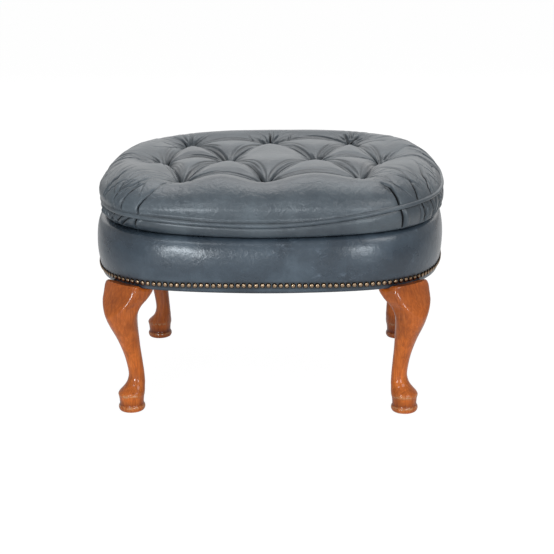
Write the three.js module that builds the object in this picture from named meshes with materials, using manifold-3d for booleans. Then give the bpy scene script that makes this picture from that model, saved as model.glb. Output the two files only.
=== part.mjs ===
import * as THREE from 'three';
import Module from 'manifold-3d';
import { mergeVertices } from 'three/addons/utils/BufferGeometryUtils.js';

// A footstool: a tufted leather cushion on an upholstered base with four cabriole legs.
// Millimetres, Z up, the long side along X, the front towards -Y, the origin on the floor below the middle.

const wasm = await Module();
wasm.setup();

// Overall sizes
const seatWidth = 650;
const seatDepth = 522;
const legHeight = 239.2; // floor to the top of the knees, which the rails and the leather stand on
const baseHeight = 95.8; // top of the knees to the cushion, at the middle of the front
const lowerPanelHeight = 24; // underside of the cushion to its seam, at the middle of the front
const crownRise = 78.5; // seam to the crown of the cushion, without its puffs

// The seams climb from the middle of the front and back towards the two ends
const jointRise = 9;
const seamRiseLeft = 15.5;
const seamRiseRight = 32;

// The plan is |x/a|^front + |y/b|^end = 1, and it grows rounder towards the crown
const frontPower = 4.4;
const endPower = 2.62;
const crownFrontPower = 3.4;
const crownEndPower = 2.85;

// Clearances
const fit = 0.3; // between pieces that touch
const overrun = 2; // of a cutter past the face that it cuts

// Leather and padding
const leatherThickness = 2;
const bandTuck = 7.5; // how far the band's lower edge lies inside its bulge
const nailInset = 4.9;
const edgeSag = 3.2; // the leather's lower edge hangs this much lower between the legs
const bulgeRise = 50.8; // top of the knees to the widest part of the band
const shoulderInset = 7;
const shoulderDrop = 6.5;
const coverReach = 60; // how far the band's leather runs in under the cushion
const paddingRise = 25; // top of the knees to the lower edge of the padding

// Nail heads, touching, in one row
const nailRise = 12.3;
const nailHead = 10.8;
const nailHeight = 3;

// Cushion
const cushionSlack = 2.6; // the cushion is this much smaller than the base, each side
const cushionTuckLeft = 21; // how far its underside draws in
const cushionTuckRight = 9;
const tuckPower = 1.7;
const cushionShift = 0.7; // it sits this far to the right
const crownFall = 7.8; // from the middle of the crown to its ends
const wideRise = 25; // seam to the widest part of the cushion
const crownReach = 90; // how far in from the side the crown goes on rising
const crownSidePower = 2.6;
const crownTopPower = 1.85;
const undersideInset = 26;
const undersideEdgeShare = 0.65;
const weltRadius = 4.2;
const weltSink = 1.5; // the welt's middle lies this far inside the cushion's side
const gatherDepth = 3; // of the pleats at the ends
const gatherStartShare = 0.76;

// Tufts, in rows of three, four and three
const tuftMarginX = 121; // side of the seat to the outer tufts of the middle row
const tuftMarginY = 113;
const tuftPitchShare = 0.809; // of the way to the outer tufts
const tuftDepth = 26;
const tuftReach = 40;
const tuftEvenShare = 0.8; // of a tuft's hollow that is the same on all sides
const creaseDepth = 3.5;
const pillowReach = 30; // from a crease to the crown of a pillow
const pillowCorner = 12; // the same, beside a tuft
const pillowPower = 1.7;
const pillowPuff = 2; // rise of a pillow over the crown
const rimPuff = 4; // rise of the rim outside the tufts
const rimInset = 60;
const rimReach = 24;
const creaseRunOut = 75; // of the creases from the outer tufts towards the edge

// Legs
const footSetbackX = 75; // side of the seat to the middle of the foot
const footSetbackY = 49.5;
const discRadius = 24.6;
const discHeight = 13;
const discEdge = 4;
const discShoulder = 10;
const neckDepth = 2.6; // of the groove above the disc
const legSweep = 10.4; // how far the knee stands out from the foot's middle
const kneeHalfWidth = 30;
const kneePower = 3.2; // squareness of the knee at its top
const kneeStand = 8; // how far the knee may stand out past the seat's side at its top
const kneeSpread = 108; // how far that limit moves out over the height of the leg
const innerCutShare = 0.84;
const earCutShare = 0.84;
const earStartShare = 0.62;
const earFullShare = 0.86;

// Seat frame
const railInset = 11.5;
const railThickness = 25;
const railHeight = 66.8;
const postSetbackX = 117; // side of the seat to the inner face of a post
const postSetbackY = 93;
const tenonLength = 18;
const tenonThickness = 10;
const tenonWall = 5;
const tenonShoulder = 12;
const blockHeight = 46;
const blockRise = 8;
const blockLegX = 225; // side of the seat to the block's end on the front or rear rail
const blockLegY = 197;

// Webbing
const strapWidth = 50;
const strapThickness = 1.6;
const shortStrapShare = 0.333; // pitch of the short straps, of half the way between the end rails
const longStrapShare = 0.41;
const strapLap = 20; // of a strap on a rail

// Under and between the cushions
const clothThickness = 1.2;
const dustCoverLap = 16;

// Counts
const stationCount = 60;
const legSides = 20;
const legRings = 22;
const weltSides = 8;
const solveSteps = 40;

// Worked out from the sizes above
const halfWidth = seatWidth / 2;
const halfDepth = seatDepth / 2;
const jointHeight = legHeight + baseHeight;
const seamHeight = jointHeight + lowerPanelHeight;
const wideHeight = seamHeight + wideRise;
const crownTop = seamHeight + crownRise;
const railBottom = legHeight + fit;
const railTop = railBottom + railHeight;
const railInner = railInset + railThickness;
const edgeBottom = railBottom - edgeSag;
const footX = halfWidth - footSetbackX;
const footY = halfDepth - footSetbackY;
const postInnerX = halfWidth - postSetbackX;
const postInnerY = halfDepth - postSetbackY;
const outerTuft = halfWidth - tuftMarginX;
const tuftRow = halfDepth - tuftMarginY;
const tuftPitch = outerTuft * tuftPitchShare;
const shortStrapPitch = (halfWidth - railInner) * shortStrapShare;
const longStrapPitch = (halfDepth - railInner) * longStrapShare;
const strapLayer = 2 * strapThickness + 3 * fit;

const leather = { color: 0x58626a, roughness: 0.5, metalness: 0 };
const wood = { color: 0xb06234, roughness: 0.35, metalness: 0 };
const beech = { color: 0xc8a878, roughness: 0.8, metalness: 0 };
const brass = { color: 0x6b5436, roughness: 0.4, metalness: 0.9 };
const jute = { color: 0xa88f63, roughness: 0.95, metalness: 0 };
const foam = { color: 0xd9cfa6, roughness: 0.95, metalness: 0 };
const cloth = { color: 0x2b2b2c, roughness: 0.95, metalness: 0 };

const tuffet = new THREE.Group();

function addPiece(name, geometry, finish) {
  geometry.computeVertexNormals();
  const mesh = new THREE.Mesh(geometry, new THREE.MeshStandardMaterial(finish));
  mesh.name = name;
  tuffet.add(mesh);
}

// Small sums

function clampShare(value) {
  return Math.min(1, Math.max(0, value));
}

function easeShare(value) {
  const share = clampShare(value);
  return share * share * (3 - 2 * share);
}

function blend(from, to, share) {
  return from + (to - from) * share;
}

// The value between low and high at which a test turns from true to false

function solve(low, high, test) {
  for (let step = 0; step < solveSteps; step += 1) {
    const middle = (low + high) / 2;
    if (test(middle)) {
      low = middle;
    } else {
      high = middle;
    }
  }
  return low;
}

// The plan

function planPowers(inset) {
  const share = clampShare(inset / crownReach);
  return [blend(frontPower, crownFrontPower, share), blend(endPower, crownEndPower, share)];
}

function isInPlan(x, y, inset) {
  const [front, end] = planPowers(inset);
  return Math.abs(x / (halfWidth - inset)) ** front + Math.abs(y / (halfDepth - inset)) ** end < 1;
}

function planPoint(inset, direction) {
  const toX = (halfWidth - inset) * Math.cos(direction);
  const toY = (halfDepth - inset) * Math.sin(direction);
  const reachShare = solve(0, 2, (share) => isInPlan(toX * share, toY * share, inset));
  return new THREE.Vector2(toX * reachShare, toY * reachShare);
}

function planYAt(x, inset) {
  const [front, end] = planPowers(inset);
  return (halfDepth - inset) * (1 - Math.abs(x / (halfWidth - inset)) ** front) ** (1 / end);
}

function planXAt(y, inset) {
  const [front, end] = planPowers(inset);
  return (halfWidth - inset) * (1 - Math.abs(y / (halfDepth - inset)) ** end) ** (1 / front);
}

function insetAt(x, y) {
  return solve(0, crownReach, (inset) => isInPlan(x, y, inset));
}

// Directions whose plan points are spaced evenly along the outline

function evenDirections(count, inset) {
  const samples = count * 16;
  const lengths = [0];
  let last = planPoint(inset, 0);
  for (let sample = 1; sample <= samples; sample += 1) {
    const next = planPoint(inset, (sample / samples) * 2 * Math.PI);
    lengths.push(lengths[sample - 1] + next.distanceTo(last));
    last = next;
  }
  const directions = [];
  let sample = 0;
  for (let index = 0; index < count; index += 1) {
    const wanted = (lengths[samples] * index) / count;
    while (lengths[sample + 1] < wanted) {
      sample += 1;
    }
    const share = (wanted - lengths[sample]) / (lengths[sample + 1] - lengths[sample]);
    directions.push(((sample + share) / samples) * 2 * Math.PI);
  }
  return { directions, outline: lengths[samples] };
}

const stations = evenDirections(stationCount, 0).directions.map((direction) => {
  const x = planPoint(0, direction).x;
  return { direction, x, riseShare: easeShare(Math.abs(x) / halfWidth) };
});

function jointAt(station, inset) {
  return jointHeight + jointRise * station.riseShare * (1 - inset / halfWidth);
}

function seamAt(station, inset) {
  const rise = station.x < 0 ? seamRiseLeft : seamRiseRight;
  return seamHeight + rise * station.riseShare * (1 - inset / halfWidth);
}

// Closed solids from rings of points

function solidFrom(points, faces) {
  let volume = 0;
  for (const [a, b, c] of faces) {
    volume += points[a].dot(points[b].clone().cross(points[c]));
  }
  const indices = faces.flatMap(([a, b, c]) => (volume < 0 ? [a, c, b] : [a, b, c]));
  const geometry = new THREE.BufferGeometry();
  const positions = points.flatMap((point) => point.toArray());
  geometry.setAttribute('position', new THREE.Float32BufferAttribute(positions, 3));
  geometry.setIndex(indices);
  return geometry;
}

function joinRings(faces, first, second, count, open) {
  const last = open ? count - 1 : count;
  for (let index = 0; index < last; index += 1) {
    const next = (index + 1) % count;
    faces.push([first + index, first + next, second + next]);
    faces.push([first + index, second + next, second + index]);
  }
}

function capRing(points, faces, start, count, flip) {
  const middle = new THREE.Vector3();
  for (let index = 0; index < count; index += 1) {
    middle.add(points[start + index]);
  }
  middle.divideScalar(count);
  const centre = points.push(middle) - 1;
  for (let index = 0; index < count; index += 1) {
    const next = (index + 1) % count;
    faces.push(flip ? [centre, start + index, start + next] : [centre, start + next, start + index]);
  }
}

// Rings one above another, closed by a cap at each end

function stackSolid(rings) {
  const count = rings[0].length;
  const points = rings.flat();
  const faces = [];
  for (let ring = 0; ring + 1 < rings.length; ring += 1) {
    joinRings(faces, ring * count, (ring + 1) * count, count, false);
  }
  capRing(points, faces, 0, count, false);
  capRing(points, faces, (rings.length - 1) * count, count, true);
  return solidFrom(points, faces);
}

// Rings that close on themselves, such as a band or a tube

function hoopSolid(rings) {
  const count = rings[0].length;
  const points = rings.flat();
  const faces = [];
  for (let ring = 0; ring < rings.length; ring += 1) {
    joinRings(faces, ring * count, ((ring + 1) % rings.length) * count, count, false);
  }
  return solidFrom(points, faces);
}

// A length of a hoop, with flat ends

function hoopLength(rings) {
  const count = rings[0].length;
  const points = rings.flat();
  const faces = [];
  for (let ring = 0; ring < rings.length; ring += 1) {
    joinRings(faces, ring * count, ((ring + 1) % rings.length) * count, count, true);
  }
  const section = rings.map((ring) => ring[0]);
  const flat = section.map((point) => new THREE.Vector2(Math.hypot(point.x - section[0].x, point.y - section[0].y), point.z));
  const outer = Math.hypot(section[0].x, section[0].y);
  section.forEach((point, index) => {
    flat[index].x *= Math.sign(outer - Math.hypot(point.x, point.y) + Number.EPSILON);
  });
  for (const [a, b, c] of THREE.ShapeUtils.triangulateShape(flat, [])) {
    faces.push([a * count, c * count, b * count]);
    faces.push([(a + 1) * count - 1, (b + 1) * count - 1, (c + 1) * count - 1]);
  }
  return solidFrom(points, faces);
}

// One ring of the plan, with an inset and a height for each station

function planRing(insetOf, heightOf) {
  return stations.map((station) => {
    const inset = insetOf(station);
    const point = planPoint(inset, station.direction);
    return new THREE.Vector3(point.x, point.y, heightOf(station, inset));
  });
}

function toManifold(geometry) {
  const bare = geometry.clone();
  bare.deleteAttribute('normal');
  bare.deleteAttribute('uv');
  const merged = mergeVertices(bare);
  const vertProperties = new Float32Array(merged.attributes.position.array);
  const triVerts = new Uint32Array(merged.index.array);
  return new wasm.Manifold(new wasm.Mesh({ numProp: 3, vertProperties, triVerts }));
}

function fromManifold(solid) {
  const mesh = solid.getMesh();
  const geometry = new THREE.BufferGeometry();
  geometry.setAttribute('position', new THREE.BufferAttribute(new Float32Array(mesh.vertProperties), 3));
  geometry.setIndex(new THREE.BufferAttribute(new Uint32Array(mesh.triVerts), 1));
  return geometry;
}

function prism(outline, bottom, height) {
  const geometry = new THREE.ExtrudeGeometry(new THREE.Shape(outline), { depth: height, bevelEnabled: false });
  return geometry.translate(0, 0, bottom);
}

function boxBetween(low, high) {
  const size = high.clone().sub(low);
  const middle = low.clone().add(high).divideScalar(2);
  return new THREE.BoxGeometry(size.x, size.y, size.z).translate(middle.x, middle.y, middle.z);
}

// A flat slab with the plan's outline

function planSlab(inset, bottom, height) {
  return toManifold(stackSolid([planRing(() => inset, () => bottom), planRing(() => inset, () => bottom + height)]));
}

// Tenons of the rails, placed by their lowest and highest corners in the corner at +X and +Y

const tenonBottom = railBottom + tenonShoulder;
const tenonTop = railTop - tenonShoulder;
const frontTenonOuter = planYAt(postInnerX + tenonLength, railInset + tenonWall);
const endTenonOuter = planXAt(postInnerY + tenonLength, railInset + tenonWall);

function frontTenon(clearance) {
  return [
    new THREE.Vector3(postInnerX - overrun, frontTenonOuter - tenonThickness - clearance, tenonBottom - clearance),
    new THREE.Vector3(postInnerX + tenonLength + clearance, frontTenonOuter + clearance, tenonTop + clearance),
  ];
}

function endTenon(clearance) {
  return [
    new THREE.Vector3(endTenonOuter - tenonThickness - clearance, postInnerY - overrun, tenonBottom - clearance),
    new THREE.Vector3(endTenonOuter + clearance, postInnerY + tenonLength + clearance, tenonTop + clearance),
  ];
}

function mirrored(points, sideX, sideY) {
  return points.map((point) => new THREE.Vector3(point.x * sideX, point.y * sideY, point.z));
}

function boxAround(points) {
  const box = new THREE.Box3().setFromPoints(points);
  return boxBetween(box.min, box.max);
}

// Cabriole legs. Each row: height as a share of the leg, the middle's way out or in as a share of
// the sweep, and half the width as a share of the knee's.

const legProfileShares = [
  [0.061, 0, 0.733],
  [0.1, 0, 0.75],
  [0.128, 0, 0.8],
  [0.142, -0.03, 0.812],
  [0.168, -0.22, 0.745],
  [0.205, -0.68, 0.595],
  [0.248, -0.86, 0.515],
  [0.3, -0.9, 0.477],
  [0.42, -0.58, 0.51],
  [0.51, -0.22, 0.575],
  [0.6, 0.19, 0.685],
  [0.72, 0.8, 0.865],
  [0.8, 1, 0.99],
  [0.85, 0.87, 1.19],
  [0.9, 0.5, 1.44],
  [0.95, 0.16, 1.6],
  [1, 0, 1.66],
];

const legCurve = new THREE.CatmullRomCurve3(
  legProfileShares.map(([heightShare, sweepShare, widthShare]) => {
    return new THREE.Vector3(sweepShare * legSweep, widthShare * kneeHalfWidth, heightShare * legHeight);
  }),
);

// The distance from the leg's middle to its surface: a rounded square, held inside the seat's plan
// on the outer corner and cut off square to the diagonal on the inner one

function legReach(direction, middleX, middleY, half, height) {
  const squareShare = easeShare((height / legHeight - 0.5) * 2);
  const power = blend(2, kneePower, squareShare);
  const outward = Math.cos(direction);
  const sideward = Math.sin(direction);
  const side = half / (Math.abs(outward) ** power + Math.abs(sideward) ** power) ** (1 / power);
  const limitInset = -kneeStand - kneeSpread * (1 - height / legHeight);
  const limit = solve(0, seatWidth, (reach) => {
    return isInPlan(middleX + outward * reach, middleY + sideward * reach, limitInset);
  });
  const inward = -(outward + sideward) / Math.SQRT2;
  const cutShare = blend(2, innerCutShare, squareShare);
  const cut = inward > 0 ? (half * cutShare) / inward : seatWidth;
  const earShare = easeShare((height / legHeight - earStartShare) / (earFullShare - earStartShare));
  const across = Math.abs(outward - sideward) / Math.SQRT2;
  const ear = (half * blend(2, earCutShare, earShare)) / Math.max(across, Number.EPSILON);
  const sharpness = 16;
  const faces = [side, limit, cut, ear];
  return faces.reduce((sum, face) => sum + face ** -sharpness, 0) ** (-1 / sharpness);
}

function legRing(sweep, half, height, sideX, sideY) {
  const middleX = footX + sweep;
  const middleY = footY + sweep;
  const ring = [];
  for (let side = 0; side < legSides; side += 1) {
    const direction = Math.PI / 4 + (side / legSides) * 2 * Math.PI;
    const reach = legReach(direction, middleX, middleY, half, height);
    const x = middleX + Math.cos(direction) * reach;
    const y = middleY + Math.sin(direction) * reach;
    ring.push(new THREE.Vector3(x * sideX, y * sideY, height));
  }
  return ring;
}

function legGeometry(sideX, sideY) {
  const rings = [
    legRing(0, discRadius - discEdge, 0, sideX, sideY),
    legRing(0, discRadius - discEdge / 8, discEdge, sideX, sideY),
    legRing(0, discRadius, (discEdge + discShoulder) / 2, sideX, sideY),
    legRing(0, discRadius - discEdge / 8, discShoulder, sideX, sideY),
    legRing(0, discRadius - neckDepth, discHeight, sideX, sideY),
  ];
  for (let ring = 0; ring <= legRings; ring += 1) {
    const point = legCurve.getPoint(ring / legRings);
    rings.push(legRing(point.x, point.y, point.z, sideX, sideY));
  }
  const postCorners = [
    new THREE.Vector3(postInnerX, postInnerY, legHeight - overrun),
    new THREE.Vector3(halfWidth, halfDepth, railTop),
  ];
  const post = planSlab(railInset, legHeight - overrun, railHeight + fit + overrun)
    .intersect(toManifold(boxAround(mirrored(postCorners, sideX, sideY))));
  let solid = toManifold(stackSolid(rings)).add(post);
  for (const tenon of [frontTenon(fit), endTenon(fit)]) {
    solid = solid.subtract(toManifold(boxAround(mirrored(tenon, sideX, sideY))));
  }
  return fromManifold(solid);
}

const corners = [
  ['front_left', -1, -1],
  ['front_right', 1, -1],
  ['rear_left', -1, 1],
  ['rear_right', 1, 1],
];

for (const [place, sideX, sideY] of corners) {
  addPiece(`leg_${place}`, legGeometry(sideX, sideY), wood);
}

// Seat rails, sawn to the plan, with a tenon on each end

const frameRing = planSlab(railInset, railBottom, railHeight)
  .subtract(planSlab(railInner, railBottom - overrun, railHeight + 2 * overrun));

function railGeometry(low, high, tenons) {
  let solid = frameRing.intersect(toManifold(boxBetween(low, high)));
  for (const tenon of tenons) {
    solid = solid.add(toManifold(boxAround(tenon)));
  }
  return fromManifold(solid);
}

function frontRail(sideY) {
  const half = postInnerX - fit;
  return railGeometry(
    new THREE.Vector3(-half, Math.min(0, sideY * halfDepth), railBottom),
    new THREE.Vector3(half, Math.max(0, sideY * halfDepth), railTop),
    [-1, 1].map((sideX) => mirrored(frontTenon(0), sideX, sideY)),
  );
}

function endRail(sideX) {
  const half = postInnerY - fit;
  return railGeometry(
    new THREE.Vector3(Math.min(0, sideX * halfWidth), -half, railBottom),
    new THREE.Vector3(Math.max(0, sideX * halfWidth), half, railTop),
    [-1, 1].map((sideY) => mirrored(endTenon(0), sideX, sideY)),
  );
}

addPiece('rail_front', frontRail(-1), beech);
addPiece('rail_rear', frontRail(1), beech);
addPiece('rail_left', endRail(-1), beech);
addPiece('rail_right', endRail(1), beech);

// Corner blocks, notched round the posts and glued to both rails

const blockLevel = planSlab(railInner + fit, railBottom + blockRise, blockHeight);

function blockGeometry(sideX, sideY) {
  const triangle = [
    new THREE.Vector2(halfWidth * sideX, halfDepth * sideY),
    new THREE.Vector2((halfWidth - blockLegX) * sideX, halfDepth * sideY),
    new THREE.Vector2(halfWidth * sideX, (halfDepth - blockLegY) * sideY),
  ];
  const notch = [
    new THREE.Vector3(postInnerX - fit, postInnerY - fit, railBottom),
    new THREE.Vector3(halfWidth, halfDepth, railTop),
  ];
  const corner = blockLevel.intersect(toManifold(prism(triangle, railBottom, railHeight)));
  return fromManifold(corner.subtract(toManifold(boxAround(mirrored(notch, sideX, sideY)))));
}

for (const [place, sideX, sideY] of corners) {
  addPiece(`corner_block_${place}`, blockGeometry(sideX, sideY), beech);
}

// Webbing, tacked to the tops of the rails and interlaced where the straps cross

const shortStraps = [-2, -1, 0, 1, 2].map((index) => index * shortStrapPitch);
const longStraps = [-1, 0, 1].map((index) => index * longStrapPitch);
const lowLayer = railTop + fit + strapThickness / 2;
const highLayer = lowLayer + strapThickness + fit;

function strapGeometry(halfLength, place, crossings, isOver, runsAlongX) {
  const line = [new THREE.Vector2(-halfLength, lowLayer)];
  crossings.forEach((crossing, index) => {
    const layer = isOver(index) ? highLayer : lowLayer;
    line.push(new THREE.Vector2(crossing - strapWidth / 2 - overrun, layer));
    line.push(new THREE.Vector2(crossing + strapWidth / 2 + overrun, layer));
  });
  line.push(new THREE.Vector2(halfLength, lowLayer));
  const upper = line.map((point) => new THREE.Vector2(point.x, point.y + strapThickness / 2));
  const lower = line.map((point) => new THREE.Vector2(point.x, point.y - strapThickness / 2));
  const points = [];
  for (const side of [-strapWidth / 2, strapWidth / 2]) {
    for (const point of [...upper, ...lower]) {
      const along = point.x;
      const across = place + side;
      points.push(runsAlongX ? new THREE.Vector3(along, across, point.y) : new THREE.Vector3(across, along, point.y));
    }
  }
  const count = line.length;
  const rings = [];
  for (let index = 0; index < count; index += 1) {
    rings.push([
      points[index],
      points[2 * count + index],
      points[3 * count + index],
      points[count + index],
    ]);
  }
  return stackSolid(rings);
}

shortStraps.forEach((place, strap) => {
  const halfLength = planYAt(Math.abs(place) + strapWidth / 2, railInner) + strapLap;
  const geometry = strapGeometry(halfLength, place, longStraps, (index) => (index + strap) % 2 === 0, false);
  addPiece(`webbing_short_${strap + 1}`, geometry, jute);
});

longStraps.forEach((place, strap) => {
  const halfLength = planXAt(Math.abs(place) + strapWidth / 2, railInner) + strapLap;
  const geometry = strapGeometry(halfLength, place, shortStraps, (index) => (index + strap) % 2 === 1, true);
  addPiece(`webbing_long_${strap + 1}`, geometry, jute);
});

// Outline of the band's leather in section: inset and height, from the lower edge to its inner end

const bandCurve = new THREE.SplineCurve([
  new THREE.Vector2(bandTuck, edgeBottom),
  new THREE.Vector2(nailInset, legHeight + nailRise),
  new THREE.Vector2(0, legHeight + bulgeRise),
  new THREE.Vector2(shoulderInset, jointHeight - shoulderDrop),
  new THREE.Vector2(2 * shoulderInset, jointHeight - shoulderDrop / 3),
]);
const bandSteps = 8;
const bandOutline = [
  ...bandCurve.getPoints(bandSteps),
  new THREE.Vector2(3 * shoulderInset, jointHeight - fit),
  new THREE.Vector2(coverReach, jointHeight - fit),
];

// The band's inset at a height, between its lower edge and its shoulder

function bandInset(height) {
  const above = bandOutline.findIndex((point) => point.y > height);
  const [low, high] = [bandOutline[above - 1], bandOutline[above]];
  return blend(low.x, high.x, (height - low.y) / (high.y - low.y));
}

// The outline moved inwards by a distance, square to itself

function movedIn(outline, distance) {
  return outline.map((point, index) => {
    const before = outline[Math.max(0, index - 1)];
    const after = outline[Math.min(outline.length - 1, index + 1)];
    const along = after.clone().sub(before).normalize();
    return new THREE.Vector2(point.x + along.y * distance, point.y - along.x * distance);
  });
}

function liftedRing(point) {
  const liftShare = clampShare((point.y - legHeight - bulgeRise) / (baseHeight - bulgeRise - shoulderInset));
  const sagShare = clampShare((legHeight + nailRise / 2 - point.y) / (legHeight + nailRise / 2 - edgeBottom));
  return planRing(
    () => point.x,
    (station, inset) => {
      const lift = (jointAt(station, inset) - jointHeight) * liftShare;
      return point.y + lift + edgeSag * sagShare * easeShare(Math.abs(station.x) / postInnerX);
    },
  );
}

const coverInner = movedIn(bandOutline, leatherThickness);
coverInner[0].y = bandOutline[0].y;
coverInner[coverInner.length - 1].x = coverReach;
addPiece('base_cover', hoopSolid([...bandOutline, ...coverInner.reverse()].map(liftedRing)), leather);

// Padding over the rails, in four lengths

const padSkin = movedIn(bandOutline, leatherThickness + fit);
const padBottom = legHeight + paddingRise;
const padFloor = railTop + strapLayer;
const padOuter = padSkin.slice(0, -1).filter((point) => point.y > padBottom);
const padTopInner = new THREE.Vector2(railInner, jointHeight - leatherThickness - 2 * fit);
const padSection = [
  new THREE.Vector2(railInset - fit, padBottom),
  new THREE.Vector2(padSkin[1].x + fit, padBottom),
  ...padOuter,
  padTopInner,
  new THREE.Vector2(railInner, padFloor),
  new THREE.Vector2(railInset - fit, padFloor),
];
const padRings = padSection.map(liftedRing);

function padLength(first, last) {
  const rings = padRings.map((ring) => {
    const part = [];
    for (let index = first; index <= last; index += 1) {
      part.push(ring[(index + stationCount) % stationCount].clone());
    }
    return part;
  });
  for (const ring of rings) {
    const start = ring[0];
    const end = ring[ring.length - 1];
    start.lerp(ring[1], fit / start.distanceTo(ring[1]));
    end.lerp(ring[ring.length - 2], fit / end.distanceTo(ring[ring.length - 2]));
  }
  return hoopLength(rings);
}

const endSpan = Math.round(stationCount / 10);
const quarter = stationCount / 4;
addPiece('band_padding_right', padLength(-endSpan, endSpan), foam);
addPiece('band_padding_rear', padLength(endSpan, 2 * quarter - endSpan), foam);
addPiece('band_padding_left', padLength(2 * quarter - endSpan, 2 * quarter + endSpan), foam);
addPiece('band_padding_front', padLength(2 * quarter + endSpan, 4 * quarter - endSpan), foam);

// Deck pad on the webbing, and the cloth over it that the band's leather is sewn to

const deckInset = railInner + fit;
addPiece(
  'deck_pad',
  stackSolid([
    planRing(() => deckInset, () => padFloor),
    planRing(() => deckInset, (station) => jointAt(station, deckInset) - leatherThickness - 4 * fit),
  ]),
  foam,
);
addPiece(
  'deck_cloth',
  stackSolid([
    planRing(() => coverReach + fit, (station, inset) => jointAt(station, inset) - fit - leatherThickness),
    planRing(() => coverReach + fit, (station, inset) => jointAt(station, inset) - fit),
  ]),
  cloth,
);

// Dust cover under the frame

const dustInset = railInner - dustCoverLap;
const legTopHalf = kneeHalfWidth * legProfileShares[legProfileShares.length - 1][2];
let dustCover = planSlab(dustInset, legHeight - clothThickness, clothThickness);
for (const [, sideX, sideY] of corners) {
  const notch = [
    new THREE.Vector3(footX - legTopHalf - overrun, footY - legTopHalf - overrun, 0),
    new THREE.Vector3(halfWidth, halfDepth, legHeight + overrun),
  ];
  dustCover = dustCover.subtract(toManifold(boxAround(mirrored(notch, sideX, sideY))));
}
addPiece('dust_cover', fromManifold(dustCover), cloth);

// Nail heads: a string of low domes, joined where they touch

function nailTrim() {
  const around = evenDirections(stationCount * 4, nailInset);
  const count = Math.round(around.outline / nailHead);
  const { directions } = evenDirections(count * 2, nailInset);
  const rings = [[], [], []];
  directions.forEach((direction, index) => {
    const isHead = index % 2 === 0;
    const half = (isHead ? nailHead : nailHead / 3) / 2;
    const proud = isHead ? nailHeight : nailHeight / 3;
    const height = legHeight + nailRise;
    const section = [
      new THREE.Vector2(bandInset(height - half) - 2 * fit, height - half),
      new THREE.Vector2(bandInset(height) - 2 * fit - proud, height),
      new THREE.Vector2(bandInset(height + half) - 2 * fit, height + half),
    ];
    section.forEach((corner, ring) => {
      const point = planPoint(corner.x, direction);
      rings[ring].push(new THREE.Vector3(point.x, point.y, corner.y));
    });
  });
  return hoopSolid(rings);
}

addPiece('nail_trim', nailTrim(), brass);

// The cushion's side in section: its inset at a height, and its height at an inset

function cushionInset(height, station) {
  if (height < wideHeight) {
    const tuck = blend(cushionTuckRight, cushionTuckLeft, station.x < 0 ? station.riseShare : 0);
    return cushionSlack + tuck * ((wideHeight - height) / (wideHeight - jointHeight)) ** tuckPower;
  }
  const share = (height - wideHeight) / (crownTop - wideHeight);
  return cushionSlack + crownReach * (1 - (1 - share ** crownTopPower) ** (1 / crownSidePower));
}

function crownAt(inset) {
  const share = clampShare((inset - cushionSlack) / crownReach);
  return wideHeight + (crownTop - wideHeight) * (1 - (1 - share) ** crownSidePower) ** (1 / crownTopPower);
}

function weltInset(station) {
  return cushionInset(seamAt(station, 0), station) + weltSink;
}

// A piece of the cushion moved to its place, with its crown lowered towards the ends

function settled(geometry) {
  const position = geometry.attributes.position;
  for (let index = 0; index < position.count; index += 1) {
    const [x, z] = [position.getX(index), position.getZ(index)];
    const fall = crownFall * (x / halfWidth) ** 2;
    const share = (z - wideHeight) / (crownTop - wideHeight);
    position.setZ(index, z - fall * Math.max(0, share));
    position.setX(index, x + cushionShift);
  }
  return geometry;
}

// A ring at an angle round the welt: 0 points inwards, a quarter turn up

function seatRing(radius, angle, moved = 0) {
  return planRing(
    (station) => weltInset(station) + radius * Math.cos(angle) + moved,
    (station) => seamAt(station, 0) + radius * Math.sin(angle),
  );
}

const welt = [];
for (let side = 0; side < weltSides; side += 1) {
  welt.push(seatRing(weltRadius, (side / weltSides) * 2 * Math.PI));
}
addPiece('cushion_welt', settled(hoopSolid(welt)), leather);

// Lower panel and underside: a leather tray that holds the core

const seatRadius = weltRadius + fit;
const seatAngle = 0.1;
const panelShares = [0, 0.45, 1];

function panelRing(share, moved) {
  const heightOf = (station) => blend(jointAt(station, 0) + weltRadius, seamAt(station, 0) - 2 * weltRadius, share);
  return planRing((station) => cushionInset(heightOf(station), station) + moved, heightOf);
}

function trayRings(moved) {
  return [
    planRing(() => undersideInset, (station, inset) => jointAt(station, inset) + moved),
    planRing(
      () => undersideInset * undersideEdgeShare + moved,
      (station, inset) => jointAt(station, inset) + moved + fit,
    ),
    ...panelShares.map((share) => panelRing(share, moved)),
  ];
}

function trayEdge(moved) {
  return planRing((station) => weltInset(station) + moved, (station) => seamAt(station, 0) - seatRadius - moved * 0.2);
}

addPiece(
  'cushion_lower_panel',
  settled(stackSolid([
    ...trayRings(0),
    trayEdge(0),
    trayEdge(leatherThickness),
    ...trayRings(leatherThickness).reverse(),
  ])),
  leather,
);

addPiece(
  'cushion_core',
  settled(stackSolid([
    ...trayRings(leatherThickness + 2 * fit),
    trayEdge(leatherThickness + 2 * fit),
    seatRing(seatRadius, -Math.PI / 4, 2 * fit),
    seatRing(seatRadius, -seatAngle),
  ])),
  foam,
);

// Tufts and the creases between them

const tufts = [];
for (const side of [-1, 1]) {
  for (const index of [-1, 0, 1]) {
    tufts.push(new THREE.Vector2(index * tuftPitch, side * tuftRow));
  }
  tufts.push(new THREE.Vector2((side * tuftPitch) / 2, 0));
  tufts.push(new THREE.Vector2(side * outerTuft, 0));
}

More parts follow.
